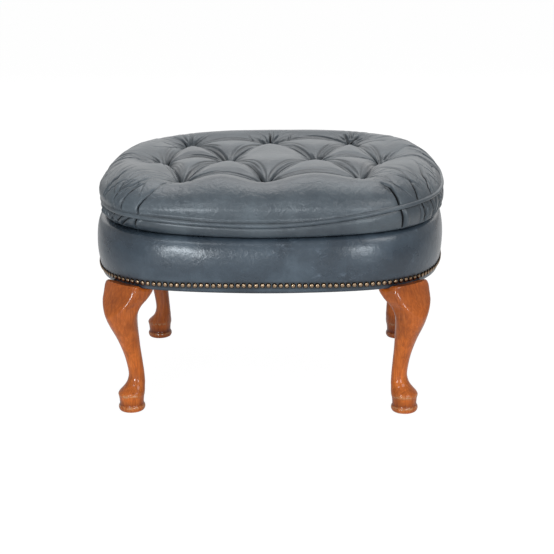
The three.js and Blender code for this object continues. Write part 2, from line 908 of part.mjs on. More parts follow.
const creases = [];
for (const sideY of [-1, 1]) {
  const middle = new THREE.Vector2(0, sideY * tuftRow);
  for (const sideX of [-1, 1]) {
    const corner = new THREE.Vector2(sideX * tuftPitch, sideY * tuftRow);
    const inner = new THREE.Vector2((sideX * tuftPitch) / 2, 0);
    const outer = new THREE.Vector2(sideX * outerTuft, 0);
    const away = corner.clone().normalize().multiplyScalar(creaseRunOut);
    creases.push([middle, corner], [middle, inner], [corner, inner], [corner, outer], [inner, outer]);
    creases.push([corner, corner.clone().add(away)]);
    creases.push([outer, new THREE.Vector2(sideX * (outerTuft + creaseRunOut), 0)]);
  }
  creases.push([middle, new THREE.Vector2(0, sideY * (tuftRow + creaseRunOut / 2))]);
}

function distanceToCrease(point, [from, to]) {
  const along = to.clone().sub(from);
  const share = clampShare(point.clone().sub(from).dot(along) / along.lengthSq());
  return point.distanceTo(from.clone().addScaledVector(along, share));
}

function tuftDrop(x, y) {
  const point = new THREE.Vector2(x, y);
  const nearTuft = Math.min(...tufts.map((tuft) => tuft.distanceTo(point)));
  const nearCrease = Math.min(...creases.map((crease) => distanceToCrease(point, crease)));
  const reach = Math.min(pillowReach, pillowCorner + nearTuft / 2);
  const nearShare = (1 - clampShare(nearCrease / reach)) ** pillowPower;
  const hollow = tuftDepth * Math.exp(-nearTuft / tuftReach) * blend(tuftEvenShare, 1, nearShare);
  const openShare = easeShare(nearCrease / reach);
  const rim = rimPuff * Math.exp(-(((insetAt(x, y) - rimInset) / rimReach) ** 2));
  return hollow + creaseDepth * nearShare - pillowPuff * openShare - rim;
}

// Places along one axis, from the middle out, that pass through every tuft

function latticePlaces(marks, steps, limit) {
  const places = [0];
  marks.forEach((mark, index) => {
    const from = index === 0 ? 0 : marks[index - 1];
    for (let step = 1; step <= steps[index]; step += 1) {
      places.push(blend(from, mark, step / steps[index]));
    }
  });
  const stride = places[places.length - 1] - places[places.length - 2];
  while (places[places.length - 1] + stride < limit) {
    places.push(places[places.length - 1] + stride);
  }
  return [...places.slice(1).map((place) => -place).reverse(), ...places];
}

const borderInset = 44;
const borderGap = 10;

function cushionTop() {
  const points = [];
  const faces = [];
  const isGathered = (index) => index % 2 === 1 && Math.abs(stations[index].x) > gatherStartShare * halfWidth;
  const borderHeight = crownAt(borderInset);
  const sideShares = [0, 0.16, 0.34, 0.55, 0.78, 1];
  const rings = [
    seatRing(seatRadius, seatAngle),
    seatRing(seatRadius, Math.PI / 4),
    seatRing(seatRadius, Math.PI / 2),
  ];
  for (const share of sideShares) {
    const heightOf = (station) => blend(seamAt(station, 0) + 2 * weltRadius, borderHeight, share);
    const pinchShare = 4 * share * (1 - share);
    rings.push(
      stations.map((station, index) => {
        const height = heightOf(station);
        const inset = cushionInset(height, station) + (isGathered(index) ? gatherDepth * pinchShare : 0);
        const point = planPoint(inset, station.direction);
        const drop = tuftDrop(point.x, point.y) * share * share;
        return new THREE.Vector3(point.x, point.y, height - drop);
      }),
    );
  }
  points.push(...rings.flat());
  for (let ring = 0; ring + 1 < rings.length; ring += 1) {
    joinRings(faces, ring * stationCount, (ring + 1) * stationCount, stationCount, false);
  }
  capRing(points, faces, 0, stationCount, false);

  // The quilted middle, on a lattice whose lines run through the tufts
  const columns = latticePlaces([tuftPitch, outerTuft], [10, 2], halfWidth);
  const rows = latticePlaces([tuftRow], [5], halfDepth);
  const indices = new Map();
  const key = (column, row) => column * rows.length + row;
  const isInner = (column, row) => insetAt(columns[column], rows[row]) > borderInset + borderGap;
  const heightAt = (x, y) => crownAt(insetAt(x, y)) - tuftDrop(x, y);
  const indexOf = (column, row) => {
    if (!indices.has(key(column, row))) {
      const x = columns[column];
      const y = rows[row];
      indices.set(key(column, row), points.push(new THREE.Vector3(x, y, heightAt(x, y))) - 1);
    }
    return indices.get(key(column, row));
  };
  const edges = new Map();
  const addFace = (a, b, c) => {
    faces.push([a, b, c]);
    for (const [from, to] of [[a, b], [b, c], [c, a]]) {
      if (edges.get(to)?.has(from)) {
        edges.get(to).delete(from);
      } else {
        edges.set(from, (edges.get(from) ?? new Set()).add(to));
      }
    }
  };
  for (let column = 0; column + 1 < columns.length; column += 1) {
    for (let row = 0; row + 1 < rows.length; row += 1) {
      const isCellInner = isInner(column, row) && isInner(column + 1, row)
        && isInner(column, row + 1) && isInner(column + 1, row + 1);
      if (isCellInner) {
        const [a, b] = [indexOf(column, row), indexOf(column + 1, row)];
        const [d, c] = [indexOf(column, row + 1), indexOf(column + 1, row + 1)];
        const middleX = (columns[column] + columns[column + 1]) / 2;
        const middleY = (rows[row] + rows[row + 1]) / 2;
        const wanted = heightAt(middleX, middleY);
        const risingError = Math.abs((points[a].z + points[c].z) / 2 - wanted);
        const fallingError = Math.abs((points[b].z + points[d].z) / 2 - wanted);
        if (risingError < fallingError) {
          addFace(a, b, c);
          addFace(a, c, d);
        } else {
          addFace(a, b, d);
          addFace(b, c, d);
        }
      }
    }
  }

  // The strip between the lattice's stepped edge and the border ring
  const nextOf = new Map();
  for (const [from, ends] of edges) {
    for (const to of ends) {
      nextOf.set(from, to);
    }
  }
  const first = nextOf.keys().next().value;
  const loop = [first];
  while (nextOf.get(loop[loop.length - 1]) !== first) {
    loop.push(nextOf.get(loop[loop.length - 1]));
  }
  const borderStart = (rings.length - 1) * stationCount;
  const border = stations.map((station, index) => borderStart + index);
  const apart = (a, b) => points[a].distanceTo(points[b]);
  const nearest = loop.reduce((best, index) => (apart(index, border[0]) < apart(best, border[0]) ? index : best));
  const start = loop.indexOf(nearest);
  let [outer, inner] = [0, 0];
  while (outer < border.length || inner < loop.length) {
    const outerNow = border[outer % border.length];
    const outerNext = border[(outer + 1) % border.length];
    const innerNow = loop[(start + inner) % loop.length];
    const innerNext = loop[(start + inner + 1) % loop.length];
    const isOuterNearer = apart(outerNext, innerNow) < apart(innerNext, outerNow);
    if (inner === loop.length || (outer < border.length && isOuterNearer)) {
      faces.push([outerNow, outerNext, innerNow]);
      outer += 1;
    } else {
      faces.push([outerNow, innerNext, innerNow]);
      inner += 1;
    }
  }
  return solidFrom(points, faces);
}

addPiece('cushion_top', settled(cushionTop()), leather);

export default tuffet;
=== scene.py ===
import math

import bpy
import numpy as np
from mathutils import Matrix, Vector


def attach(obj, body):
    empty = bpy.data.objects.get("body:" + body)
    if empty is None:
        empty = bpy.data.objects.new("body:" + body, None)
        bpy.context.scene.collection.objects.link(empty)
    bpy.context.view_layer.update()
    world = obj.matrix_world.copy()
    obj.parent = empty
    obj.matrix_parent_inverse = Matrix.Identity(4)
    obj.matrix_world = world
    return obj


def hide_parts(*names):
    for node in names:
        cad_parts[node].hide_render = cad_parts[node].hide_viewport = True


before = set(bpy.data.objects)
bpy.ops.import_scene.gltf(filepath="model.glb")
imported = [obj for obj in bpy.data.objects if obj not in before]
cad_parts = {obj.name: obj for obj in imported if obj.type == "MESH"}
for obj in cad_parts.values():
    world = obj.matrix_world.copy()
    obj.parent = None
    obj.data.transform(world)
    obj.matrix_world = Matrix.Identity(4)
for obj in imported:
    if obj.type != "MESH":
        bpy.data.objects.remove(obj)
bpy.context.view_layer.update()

# Sizes are in millimetres up to the point where a mesh is made


cameraView = {
    "azimuth": 2.99,          # degrees round the footstool
    "elevation": 16.48,
    "roll": -0.88,
    "distance": 2893,
    "aim": (9.9, 0, 191.4),
    "focalPixels": 1495,
    "imagePixels": 554,
    "sensor": 36,
}


def makeCamera(view):
    around, up, roll = (math.radians(view[key]) for key in ("azimuth", "elevation", "roll"))
    back = Vector((math.sin(around) * math.cos(up), -math.cos(around) * math.cos(up), math.sin(up)))
    right = Vector((math.cos(around), math.sin(around), 0))
    top = back.cross(right)
    across = right * math.cos(roll) + top * math.sin(roll)
    upright = -right * math.sin(roll) + top * math.cos(roll)
    place = (Vector(view["aim"]) + back * view["distance"]) / 1000
    data = bpy.data.cameras.new("photoCamera")
    data.sensor_width = view["sensor"]
    data.lens = view["focalPixels"] * view["sensor"] / view["imagePixels"]
    data.clip_end = 100
    camera = bpy.data.objects.new("photoCamera", data)
    bpy.context.scene.collection.objects.link(camera)
    turn = Matrix((across, upright, back)).transposed().to_4x4()
    camera.matrix_world = Matrix.Translation(place) @ turn
    bpy.context.scene.camera = camera


makeCamera(cameraView)
print("camera placed")


def deselectAll():
    if bpy.context.object and bpy.context.object.mode != "OBJECT":
        bpy.ops.object.mode_set(mode="OBJECT")
    bpy.ops.object.select_all(action="DESELECT")


def pick(piece):
    deselectAll()
    piece.select_set(True)
    bpy.context.view_layer.objects.active = piece


def alignNormals(piece):
    pick(piece)
    bpy.ops.object.mode_set(mode="EDIT")
    bpy.ops.mesh.select_all(action="SELECT")
    bpy.ops.mesh.normals_make_consistent(inside=False)
    bpy.ops.object.mode_set(mode="OBJECT")


def meshPiece(name, points, faces):  # points in millimetres
    data = bpy.data.meshes.new(name)
    data.from_pydata([tuple(point) for point in np.asarray(points) / 1000], [], [tuple(face) for face in faces])
    data.validate()
    piece = bpy.data.objects.new(name, data)
    bpy.context.scene.collection.objects.link(piece)
    alignNormals(piece)
    bpy.ops.object.shade_smooth()
    return piece


def applyModifier(piece, kind, **settings):
    pick(piece)
    modifier = piece.modifiers.new(kind.title(), kind)
    for key, value in settings.items():
        setattr(modifier, key, value)
    bpy.ops.object.modifier_apply(modifier=modifier.name)


def getPoints(piece):  # in millimetres
    flat = np.empty(len(piece.data.vertices) * 3)
    piece.data.vertices.foreach_get("co", flat)
    return flat.reshape(-1, 3) * 1000


def setPoints(piece, points):
    piece.data.vertices.foreach_set("co", (np.asarray(points) / 1000).ravel())
    piece.data.update()


def getNormals(piece):
    flat = np.empty(len(piece.data.vertices) * 3)
    piece.data.vertex_normals.foreach_get("vector", flat)
    return flat.reshape(-1, 3)


def paintShare(piece, name, values):  # a value for each point, for a material to read
    attribute = piece.data.attributes.new(name, "FLOAT", "POINT")
    attribute.data.foreach_set("value", np.asarray(values, dtype=np.float32))


def ease(value):
    share = np.clip(value, 0, 1)
    return share * share * (3 - 2 * share)


def bell(value):
    return np.exp(-value ** 2)


seat = {
    "width": 650,
    "depth": 522,
    "frontPower": 4.4,       # the plan is |x/a|^front + |y/b|^end = 1
    "endPower": 2.62,
    "crownFrontPower": 3.4,
    "crownEndPower": 2.85,
    "legHeight": 239.2,      # floor to the top of the knees
    "jointHeight": 335,      # base to cushion, at the middle of the front
    "jointRise": 9,
    "seamHeight": 359,
    "seamRiseLeft": 15.5,
    "seamRiseRight": 32,
    "wideHeight": 384,
    "crownTop": 437.5,
    "crownReach": 90,
    "crownSidePower": 2.6,
    "crownTopPower": 1.85,
    "crownFall": 7.8,        # from the middle of the crown to its ends
    "slack": 2.6,            # the cushion's widest line lies this far inside the base's
    "tuckLeft": 21,          # how far the cushion's wall slopes in below that line
    "tuckRight": 9,
    "tuckPower": 1.7,
    "tuck": 6,               # how far the seam is drawn in at the left end, and over what height
    "tuckHeight": 15,
    "drawnFrom": 240,        # from the middle to where the draw starts, and over what length it grows
    "drawnOver": 70,
    "shift": 1.7,            # the cushion sits this far to the right
}
halfWidth = seat["width"] / 2
halfDepth = seat["depth"] / 2


def planPowers(inset):
    share = np.clip(inset / seat["crownReach"], 0, 1)
    front = seat["frontPower"] + (seat["crownFrontPower"] - seat["frontPower"]) * share
    end = seat["endPower"] + (seat["crownEndPower"] - seat["endPower"]) * share
    return front, end


def findEdge(low, high, isInside, steps=36):  # by halving, the value up to which isInside holds
    for step in range(steps):
        middle = (low + high) / 2
        inside = isInside(middle)
        low, high = np.where(inside, middle, low), np.where(inside, high, middle)
    return low


def planPoint(inset, direction):
    inset, direction = np.broadcast_arrays(np.asarray(inset, float), np.asarray(direction, float))
    front, end = planPowers(inset)
    across, along = np.abs(np.cos(direction)), np.abs(np.sin(direction))
    reach = findEdge(np.zeros_like(inset), np.full_like(inset, 2.0),
                     lambda middle: (across * middle) ** front + (along * middle) ** end < 1)
    x = (halfWidth - inset) * np.cos(direction) * reach
    y = (halfDepth - inset) * np.sin(direction) * reach
    return x, y


def isOnPlan(x, y, inset, front, end):
    return np.abs(x / (halfWidth - inset)) ** front + np.abs(y / (halfDepth - inset)) ** end < 1


def insetAt(x, y):
    return findEdge(np.zeros_like(x), np.full_like(x, halfDepth - 1),
                    lambda middle: isOnPlan(x, y, middle, *planPowers(middle)), steps=32)


outlineDirections = np.linspace(0, 2 * math.pi, 7201)
outlineX, outlineY = planPoint(0, outlineDirections)
outlineLengths = np.concatenate([[0], np.cumsum(np.hypot(np.diff(outlineX), np.diff(outlineY)))])


def directionAt(share):  # share of the way round the outline, from the middle of the right end
    return np.interp(np.mod(share, 1) * outlineLengths[-1], outlineLengths, outlineDirections)


def jointAt(x, inset=0):
    return seat["jointHeight"] + seat["jointRise"] * ease(np.abs(x) / halfWidth) * (1 - inset / halfWidth)


def seamAt(x):
    rise = np.where(x < 0, seat["seamRiseLeft"], seat["seamRiseRight"])
    return seat["seamHeight"] + rise * ease(np.abs(x) / halfWidth)


def crownAt(inset):
    share = np.clip((inset - seat["slack"]) / seat["crownReach"], 0, 1)
    rise = seat["crownTop"] - seat["wideHeight"]
    return seat["wideHeight"] + rise * (1 - (1 - share) ** seat["crownSidePower"]) ** (1 / seat["crownTopPower"])


def cushionInset(height, x):
    below = np.clip((seat["wideHeight"] - height) / (seat["wideHeight"] - seat["jointHeight"]), 0, None)
    above = np.clip((height - seat["wideHeight"]) / (seat["crownTop"] - seat["wideHeight"]), 0, 1)
    inset = seat["crownReach"] * (1 - (1 - above ** seat["crownTopPower"]) ** (1 / seat["crownSidePower"]))
    leftShare = np.where(x < 0, ease(np.abs(x) / halfWidth), 0)
    tuck = seat["tuckRight"] + (seat["tuckLeft"] - seat["tuckRight"]) * leftShare
    return seat["slack"] + tuck * below ** seat["tuckPower"] + inset


def settled(x, y, height):  # a place of the cushion, moved over, with the crown lowered towards the ends
    share = np.clip((height - seat["wideHeight"]) / (seat["crownTop"] - seat["wideHeight"]), 0, None)
    return np.stack([x + seat["shift"], y, height - seat["crownFall"] * (x / halfWidth) ** 2 * share], axis=-1)


def tucked(points):  # the seam is drawn in at the left end
    apart = (points[:, 2] - seamAt(-halfWidth)) / seat["tuckHeight"]
    amount = seat["tuck"] * ease((-points[:, 0] - seat["drawnFrom"]) / seat["drawnOver"]) * bell(apart)
    return points + np.stack([amount, 0 * amount, 0 * amount], axis=1)


def hoopFaces(ringCount, pointCount, isClosed):
    ring, point = np.meshgrid(np.arange(ringCount - (0 if isClosed else 1)), np.arange(pointCount), indexing="ij")
    nextRing, nextPoint = (ring + 1) % ringCount, (point + 1) % pointCount
    corners = [ring * pointCount + point, ring * pointCount + nextPoint,
               nextRing * pointCount + nextPoint, nextRing * pointCount + point]
    return np.stack([corner.ravel() for corner in corners], axis=1)


def linear(hexColor):
    values = [int(hexColor[index:index + 2], 16) / 255 for index in (1, 3, 5)]
    return tuple(v / 12.92 if v <= 0.04045 else ((v + 0.055) / 1.055) ** 2.4 for v in values) + (1,)


def newMaterial(name):
    material = bpy.data.materials.new(name)
    material.use_nodes = True
    return material, material.node_tree, material.node_tree.nodes["Principled BSDF"]


def setInputs(tree, node, inputs):  # socket name or number to a value or another node's output
    for key, value in inputs.items():
        socket = node.inputs[key]
        if isinstance(value, bpy.types.NodeSocket):
            tree.links.new(value, socket)
        else:
            socket.default_value = value


def addNode(tree, kind, inputs=None, **settings):
    node = tree.nodes.new(kind)
    for key, value in settings.items():
        setattr(node, key, value)
    setInputs(tree, node, inputs or {})
    return node


def addRamp(tree, source, stops):  # stops: place, and a grey level or a hex color
    node = addNode(tree, "ShaderNodeValToRGB", {0: source})
    while len(node.color_ramp.elements) < len(stops):
        node.color_ramp.elements.new(0.5)
    for element, (place, color) in zip(node.color_ramp.elements, stops):
        element.position = place
        element.color = linear(color) if isinstance(color, str) else (color, color, color, 1)
    return node.outputs["Color"]


def addPlace(tree, **mapping):  # object coordinates, turned or stretched if asked
    place = addNode(tree, "ShaderNodeTexCoord").outputs["Object"]
    return addNode(tree, "ShaderNodeMapping", {"Vector": place, **mapping}).outputs["Vector"] if mapping else place


def addShare(tree, name):  # a painted value
    return addNode(tree, "ShaderNodeAttribute", attribute_name=name).outputs["Fac"]


def addNoise(tree, place, scale, detail, roughness=0.5, distortion=0):
    return addNode(tree, "ShaderNodeTexNoise", {"Vector": place, "Scale": scale, "Detail": detail,
                                                "Roughness": roughness, "Distortion": distortion}).outputs["Fac"]


def addMath(tree, operation, *values):
    return addNode(tree, "ShaderNodeMath", dict(enumerate(values)), operation=operation).outputs[0]


def addMix(tree, factor, first, second, blend="MIX"):  # sockets 6 and 7 take the two colors
    return addNode(tree, "ShaderNodeMix", {"Factor": factor, 6: first, 7: second}, data_type="RGBA",
                   blend_type=blend).outputs[2]


def addBump(tree, height, strength, depth, **below):  # depth in millimetres
    return addNode(tree, "ShaderNodeBump", {"Height": height, "Strength": strength, "Distance": depth / 1000,
                                            **below}).outputs["Normal"]


cushionLook = {
    "body": "#4F585F",       # slate blue aniline leather
    "deep": "#424B53",
    "worn": "#5E686F",
    "scuff": "#7F8990",
    # The crease colour is painted shade, for creases, folds, tuft pits, and the shade beside the welt and the nails
    "crease": "#101316",
    # The slit colour is painted shade, the black inside deep slits between folds
    "slit": "#0B0E12",
    "grainSize": 1.1,        # mm, pebble of the grain
    "mottleSize": 80,        # mm, cloudy wear of the dye
    "smooth": 0.3,           # roughness, least and most
    "rough": 0.42,
    "rubShare": 0.3,
    "wrinkle": 0.14,         # strength of the hand wrinkles where the leather is worn little, and where most
    "crumple": 0.3,
    "coat": 0.3,
    "coatRoughness": 0.3,
}
bandLook = {
    **cushionLook,
    "body": "#3F4B56",
    "deep": "#343E48",
    "worn": "#525F6A",
    "scuff": "#8391A0",
    "smooth": 0.24,
    "rough": 0.34,
    "rubShare": 0.45,
    "wrinkle": 0.06,
    "crumple": 0.13,
    "coatRoughness": 0.2,
}


def makeLeather(name, look):
    # Dyed and waxed cowhide: a tight pebble grain, cloudy dye, pale rubs where people sit
    material, tree, shader = newMaterial(name)
    place = addPlace(tree)
    crease, wear, slit = (addShare(tree, share) for share in ("creaseShadeShare", "wearShare", "slitShadeShare"))
    mottle = addNoise(tree, place, 1000 / look["mottleSize"], 6, 0.6, 0.4)
    dye = addRamp(tree, mottle, [(0.34, look["deep"]), (0.52, look["body"]), (0.72, look["worn"])])
    fineTone = addRamp(tree, addNoise(tree, place, 170, 4, 0.7), [(0.3, 0.92), (0.7, 1.05)])
    color = addMix(tree, 0.8, dye, fineTone, "MULTIPLY")
    # Rubs: thin stretched noise inside patches, only where the wear attribute allows it
    stretched = addPlace(tree, Rotation=(0.3, 0.5, 0.9), Scale=(1, 4, 2))
    rub = addRamp(tree, addNoise(tree, stretched, 42, 8, 0.8, 0.6), [(0.54, 0.0), (0.7, 1.0)])
    patch = addRamp(tree, addNoise(tree, place, 9, 2), [(0.48, 0.0), (0.66, 1.0)])
    rubbed = addMath(tree, "MULTIPLY", addMath(tree, "MULTIPLY", rub, patch), wear)
    rubbed = addMath(tree, "MULTIPLY", rubbed, look["rubShare"] * 2)
    color = addMix(tree, rubbed, color, linear(look["scuff"]))
    # Painted shade in creases, folds and tuft pits, as far as the painted share asks
    color = addMix(tree, crease, color, linear(look["crease"]))
    slitDark = addRamp(tree, slit, [(0.74, 0.0), (0.88, 1.0)])
    # Grain: pebbles between fine furrows, and soft hand wrinkles above them
    grain = addNode(tree, "ShaderNodeTexVoronoi", {"Vector": place, "Scale": 1000 / look["grainSize"],
                                                   "Randomness": 1.0}, feature="SMOOTH_F1").outputs["Distance"]
    wrinkle = addNoise(tree, place, 72, 3.5, 0.6, 1)
    crumple = addRamp(tree, wear, [(0.35, look["wrinkle"]), (1.0, look["crumple"])])
    gloss = addRamp(tree, mottle, [(0.3, look["smooth"]), (0.7, look["rough"])])
    # Inside a slit the colour is painted shade, and nothing shines
    setInputs(tree, shader, {
        "Base Color": addMix(tree, slitDark, color, linear(look["slit"])),
        "Normal": addBump(tree, wrinkle, crumple, 7, Normal=addBump(tree, grain, 0.08, 0.4)),
        "Roughness": addMix(tree, slitDark, gloss, (0.95, 0.95, 0.95, 1)),
        "Coat Weight": addRamp(tree, slit, [(0.7, look["coat"]), (0.84, 0.0)]),
        "Coat Roughness": look["coatRoughness"],
    })
    return material


woodLook = {
    "light": "#EA7F32",
    "middle": "#D66D21",
    "dark": "#B65A1D",
    "chip": "#D9A878",       # bare wood where the varnish has gone
    "shade": "#561300",      # painted shade in the foot's groove, at the knee tops under the leather and over the rear legs
    "grainWidth": 2.2,       # mm between growth lines
    "roughness": 0.38,
    "specular": 0.2,
    "varnish": 0.6,
    "varnishRoughness": 0.07,
}


def makeStainedWood(look):
    # Hardwood, stained orange brown and varnished: lines along the grain, gloss that pools
    material, tree, shader = newMaterial("varnishedStainedHardwood")
    place = addPlace(tree)
    grain = addNoise(tree, addPlace(tree, Scale=(1, 1, 0.07)), 500 / look["grainWidth"], 6, 0.65, 0.8)
    wood = addRamp(tree, grain, [(0.32, look["dark"]), (0.5, look["middle"]), (0.68, look["light"])])
    tone = addRamp(tree, addNoise(tree, place, 22, 3), [(0.3, 0.56), (0.65, 1.1)])
    color = addMix(tree, 0.75, wood, tone, "MULTIPLY")
    chip = addRamp(tree, addNoise(tree, place, 160, 5, 0.7), [(0.46, 0.0), (0.56, 1.0)])
    color = addMix(tree, addMath(tree, "MULTIPLY", chip, addShare(tree, "wearShare")), color, linear(look["chip"]))
    # Painted shade, as far as the painted share asks
    color = addMix(tree, addShare(tree, "creaseShadeShare"), color, linear(look["shade"]))
    setInputs(tree, shader, {
        "Base Color": color,
        "Normal": addBump(tree, grain, 0.12, 0.6),
        "Roughness": look["roughness"],
        "Specular IOR Level": look["specular"],
        "Coat Weight": look["varnish"],
        "Coat Roughness": look["varnishRoughness"],
    })
    return material


brassLook = {
    "crown": "#A89178",
    "slope": "#4A3726",
    "rim": "#0F0A07",
    "roughness": 0.27,
}


def makeBrass(look):
    # Domed steel nails, brass plated and chemically darkened, rubbed bright on the crown; the near black at the rim is
    # patina and painted shade where the head meets the leather
    material, tree, shader = newMaterial("antiquedBrassPlate")
    rim = addShare(tree, "rimShare")
    patinaAndShade = addMath(tree, "MULTIPLY_ADD", addNoise(tree, addPlace(tree), 420, 3), rim, rim)
    color = addRamp(tree, patinaAndShade, [(0.1, look["crown"]), (0.36, look["slope"]), (0.75, look["rim"])])
    setInputs(tree, shader, {"Base Color": color, "Metallic": 1.0, "Roughness": look["roughness"]})
    return material


def makePlain(name, low, high, size, stretch, bumpDepth, roughness):
    # One grainy material for the hidden frame, cloth and webbing; sizes in millimetres
    material, tree, shader = newMaterial(name)
    grain = addNoise(tree, addPlace(tree, Scale=stretch), 1000 / size, 5, 0.6)
    setInputs(tree, shader, {"Base Color": addRamp(tree, grain, [(0.3, low), (0.7, high)]),
                             "Normal": addBump(tree, grain, 0.4, bumpDepth), "Roughness": roughness})
    return material


cushionLeather = makeLeather("waxedCowhideCushion", cushionLook)
bandLeather = makeLeather("waxedCowhideBand", bandLook)
stainedWood = makeStainedWood(woodLook)
antiqueBrass = makeBrass(brassLook)
sawnBeech = makePlain("sawnBeech", "#B8946A", "#D9BC90", 2.5, (0.1, 0.1, 1), 0.3, 0.75)
juteWeave = makePlain("juteWebbing", "#8C744E", "#B79E74", 2.0, (1, 1, 1), 0.6, 0.95)
blackCambric = makePlain("blackCambric", "#1B1B1D", "#303033", 1.0, (1, 1, 1), 0.2, 0.95)
print("materials made")


# Place of each tuft, depth of its hollow, and the hollow's reach inwards and towards the edge
tuftTable = [(-3, -150, 33, 38, 84), (-156, -149, 30, 38, 88), (169, -146, 25, 38, 52), (-81, 1, 26, 38, 38),
             (84, 4, 23, 38, 38), (-203, 0, 26, 38, 46), (205, 1, 23, 38, 42), (-9, 150, 21, 36, 20),
             (-171, 147, 25, 38, 24), (149, 149, 18, 36, 20)]
# Creases from tuft to tuft, with the depth in mm to which they pull the leather down
tuftLinks = [(1, 0, 5), (0, 2, 4.5), (8, 7, 6), (7, 9, 4.5), (1, 3, 9), (0, 3, 9), (0, 4, 7.5), (2, 4, 7), (8, 3, 12),
             (7, 3, 10), (7, 4, 9), (9, 4, 7), (1, 5, 15), (8, 5, 12), (2, 6, 12), (9, 6, 9), (5, 3, 10), (4, 6, 7)]

cushion = {
    "seed": 7,
    "grid": 320,             # cells from the middle to the seam
    "sideRings": 75,         # of them up the side
    "sideInset": 60,         # where the rings turn into scaled copies
    "levels": 33,            # of the seam's rise, in the table of side profiles
    "tuftEven": 0.85,        # share of a tuft's hollow that is the same on all sides
    "tuftLight": 0.75,       # how much the hollows fade in the rim behind the back tufts, from which inset
    "lightInset": 62,
    "lightReach": 30,
    "pillowReach": 36,       # from a crease to the crown of a pillow
    "pillowCorner": 10,      # the same, beside a tuft
    "pillowPower": 2.2,      # 2 for a pillow with a round edge
    "runOutDepth": 5,
    "puff": 2,
    "rimPuff": 4,            # rise of the rim outside the tufts
    "rimInset": 60,
    "rimReach": 24,
    "rimDip": 62,            # mm from a front tuft within which it doesn't rise
    "cutDepth": 2.6,         # of the narrow fold in a crease
    "cutWidth": 1.6,
    "darkWidth": 1.3,        # of the painted shade line in it
    "darkReach": 45,         # mm from a tuft over which the lines fade
    "slitReach": 68,
    "fineGap": 5.5,          # between the folds beside a crease
    "fanWidth": 2.2,
    "wrinkleDepth": 1.45,
    "wrinkleShade": 1.4,
    "wrinkles": 22,          # at each tuft
    "gathers": 190,
    "gatherStart": 0.72,     # share of the half width beyond which the leather is gathered
    "seamDark": 0.8,
    "seamWidth": 0.009,      # share of the way from the middle
    "seamEase": 60,          # folds run out in the last 1/60 of that way
    "rimShrink": 0.93,       # of the leather's turned in edge under the cushion
}

# Creases that run out from a tuft: tuft, then places as (share round the outline, share of the way
# from the middle to the seam). Share 0 is the right end, .25 the back, .5 the left end, .75 the front.
runOuts = [
    (5, [(0.541, 0.626), (0.5125, 0.69), (0.49, 0.79), (0.495, 0.86)], 0.6),
    (6, [(0.9925, 0.607), (0.021, 0.66), (0.045, 0.78), (0.04, 0.86)], 0.5),
]

# Narrow folds that fan out behind the back tufts and in front of the front ones: tuft, places, depth in mm, darkness
# of their painted shade
fans = [
    (8, [(0.38, 0.588), (0.375, 0.7)], 3.5, 1), (8, [(0.3375, 0.7)], 2.5, 0.6),
    (8, [(0.405, 0.6), (0.413, 0.72)], 2, 0.4), (8, [(0.43, 0.62), (0.45, 0.72)], 1.5, 0.2),
    (7, [(0.257, 0.6), (0.257, 0.72)], 3.5, 1), (7, [(0.28, 0.56), (0.289, 0.7)], 2, 0.45),
    (7, [(0.232, 0.56), (0.229, 0.7)], 2, 0.45), (7, [(0.268, 0.56), (0.271, 0.68)], 1.5, 0.3),
    (9, [(0.161, 0.72)], 3, 0.8), (9, [(0.142, 0.6), (0.136, 0.72)], 3.5, 1),
    (9, [(0.182, 0.64)], 1.3, 0.2), (9, [(0.128, 0.6), (0.116, 0.7)], 2.5, 0.6),
    (9, [(0.172, 0.66)], 1.2, 0.2), (9, [(0.11, 0.58), (0.095, 0.66), (0.078, 0.71)], 2, 0.5),
    (0, [(0.75, 0.7), (0.75, 0.77)], 2.5, 0.6), (1, [(0.667, 0.74), (0.669, 0.79)], 2, 0.3),
    (2, [(0.8555, 0.7), (0.861, 0.72), (0.864, 0.75), (0.865, 0.79)], 1.2, 0.9),
    (1, [(0.6531, 0.71), (0.6425, 0.78), (0.641, 0.83)], 2.5, 0.5),
]

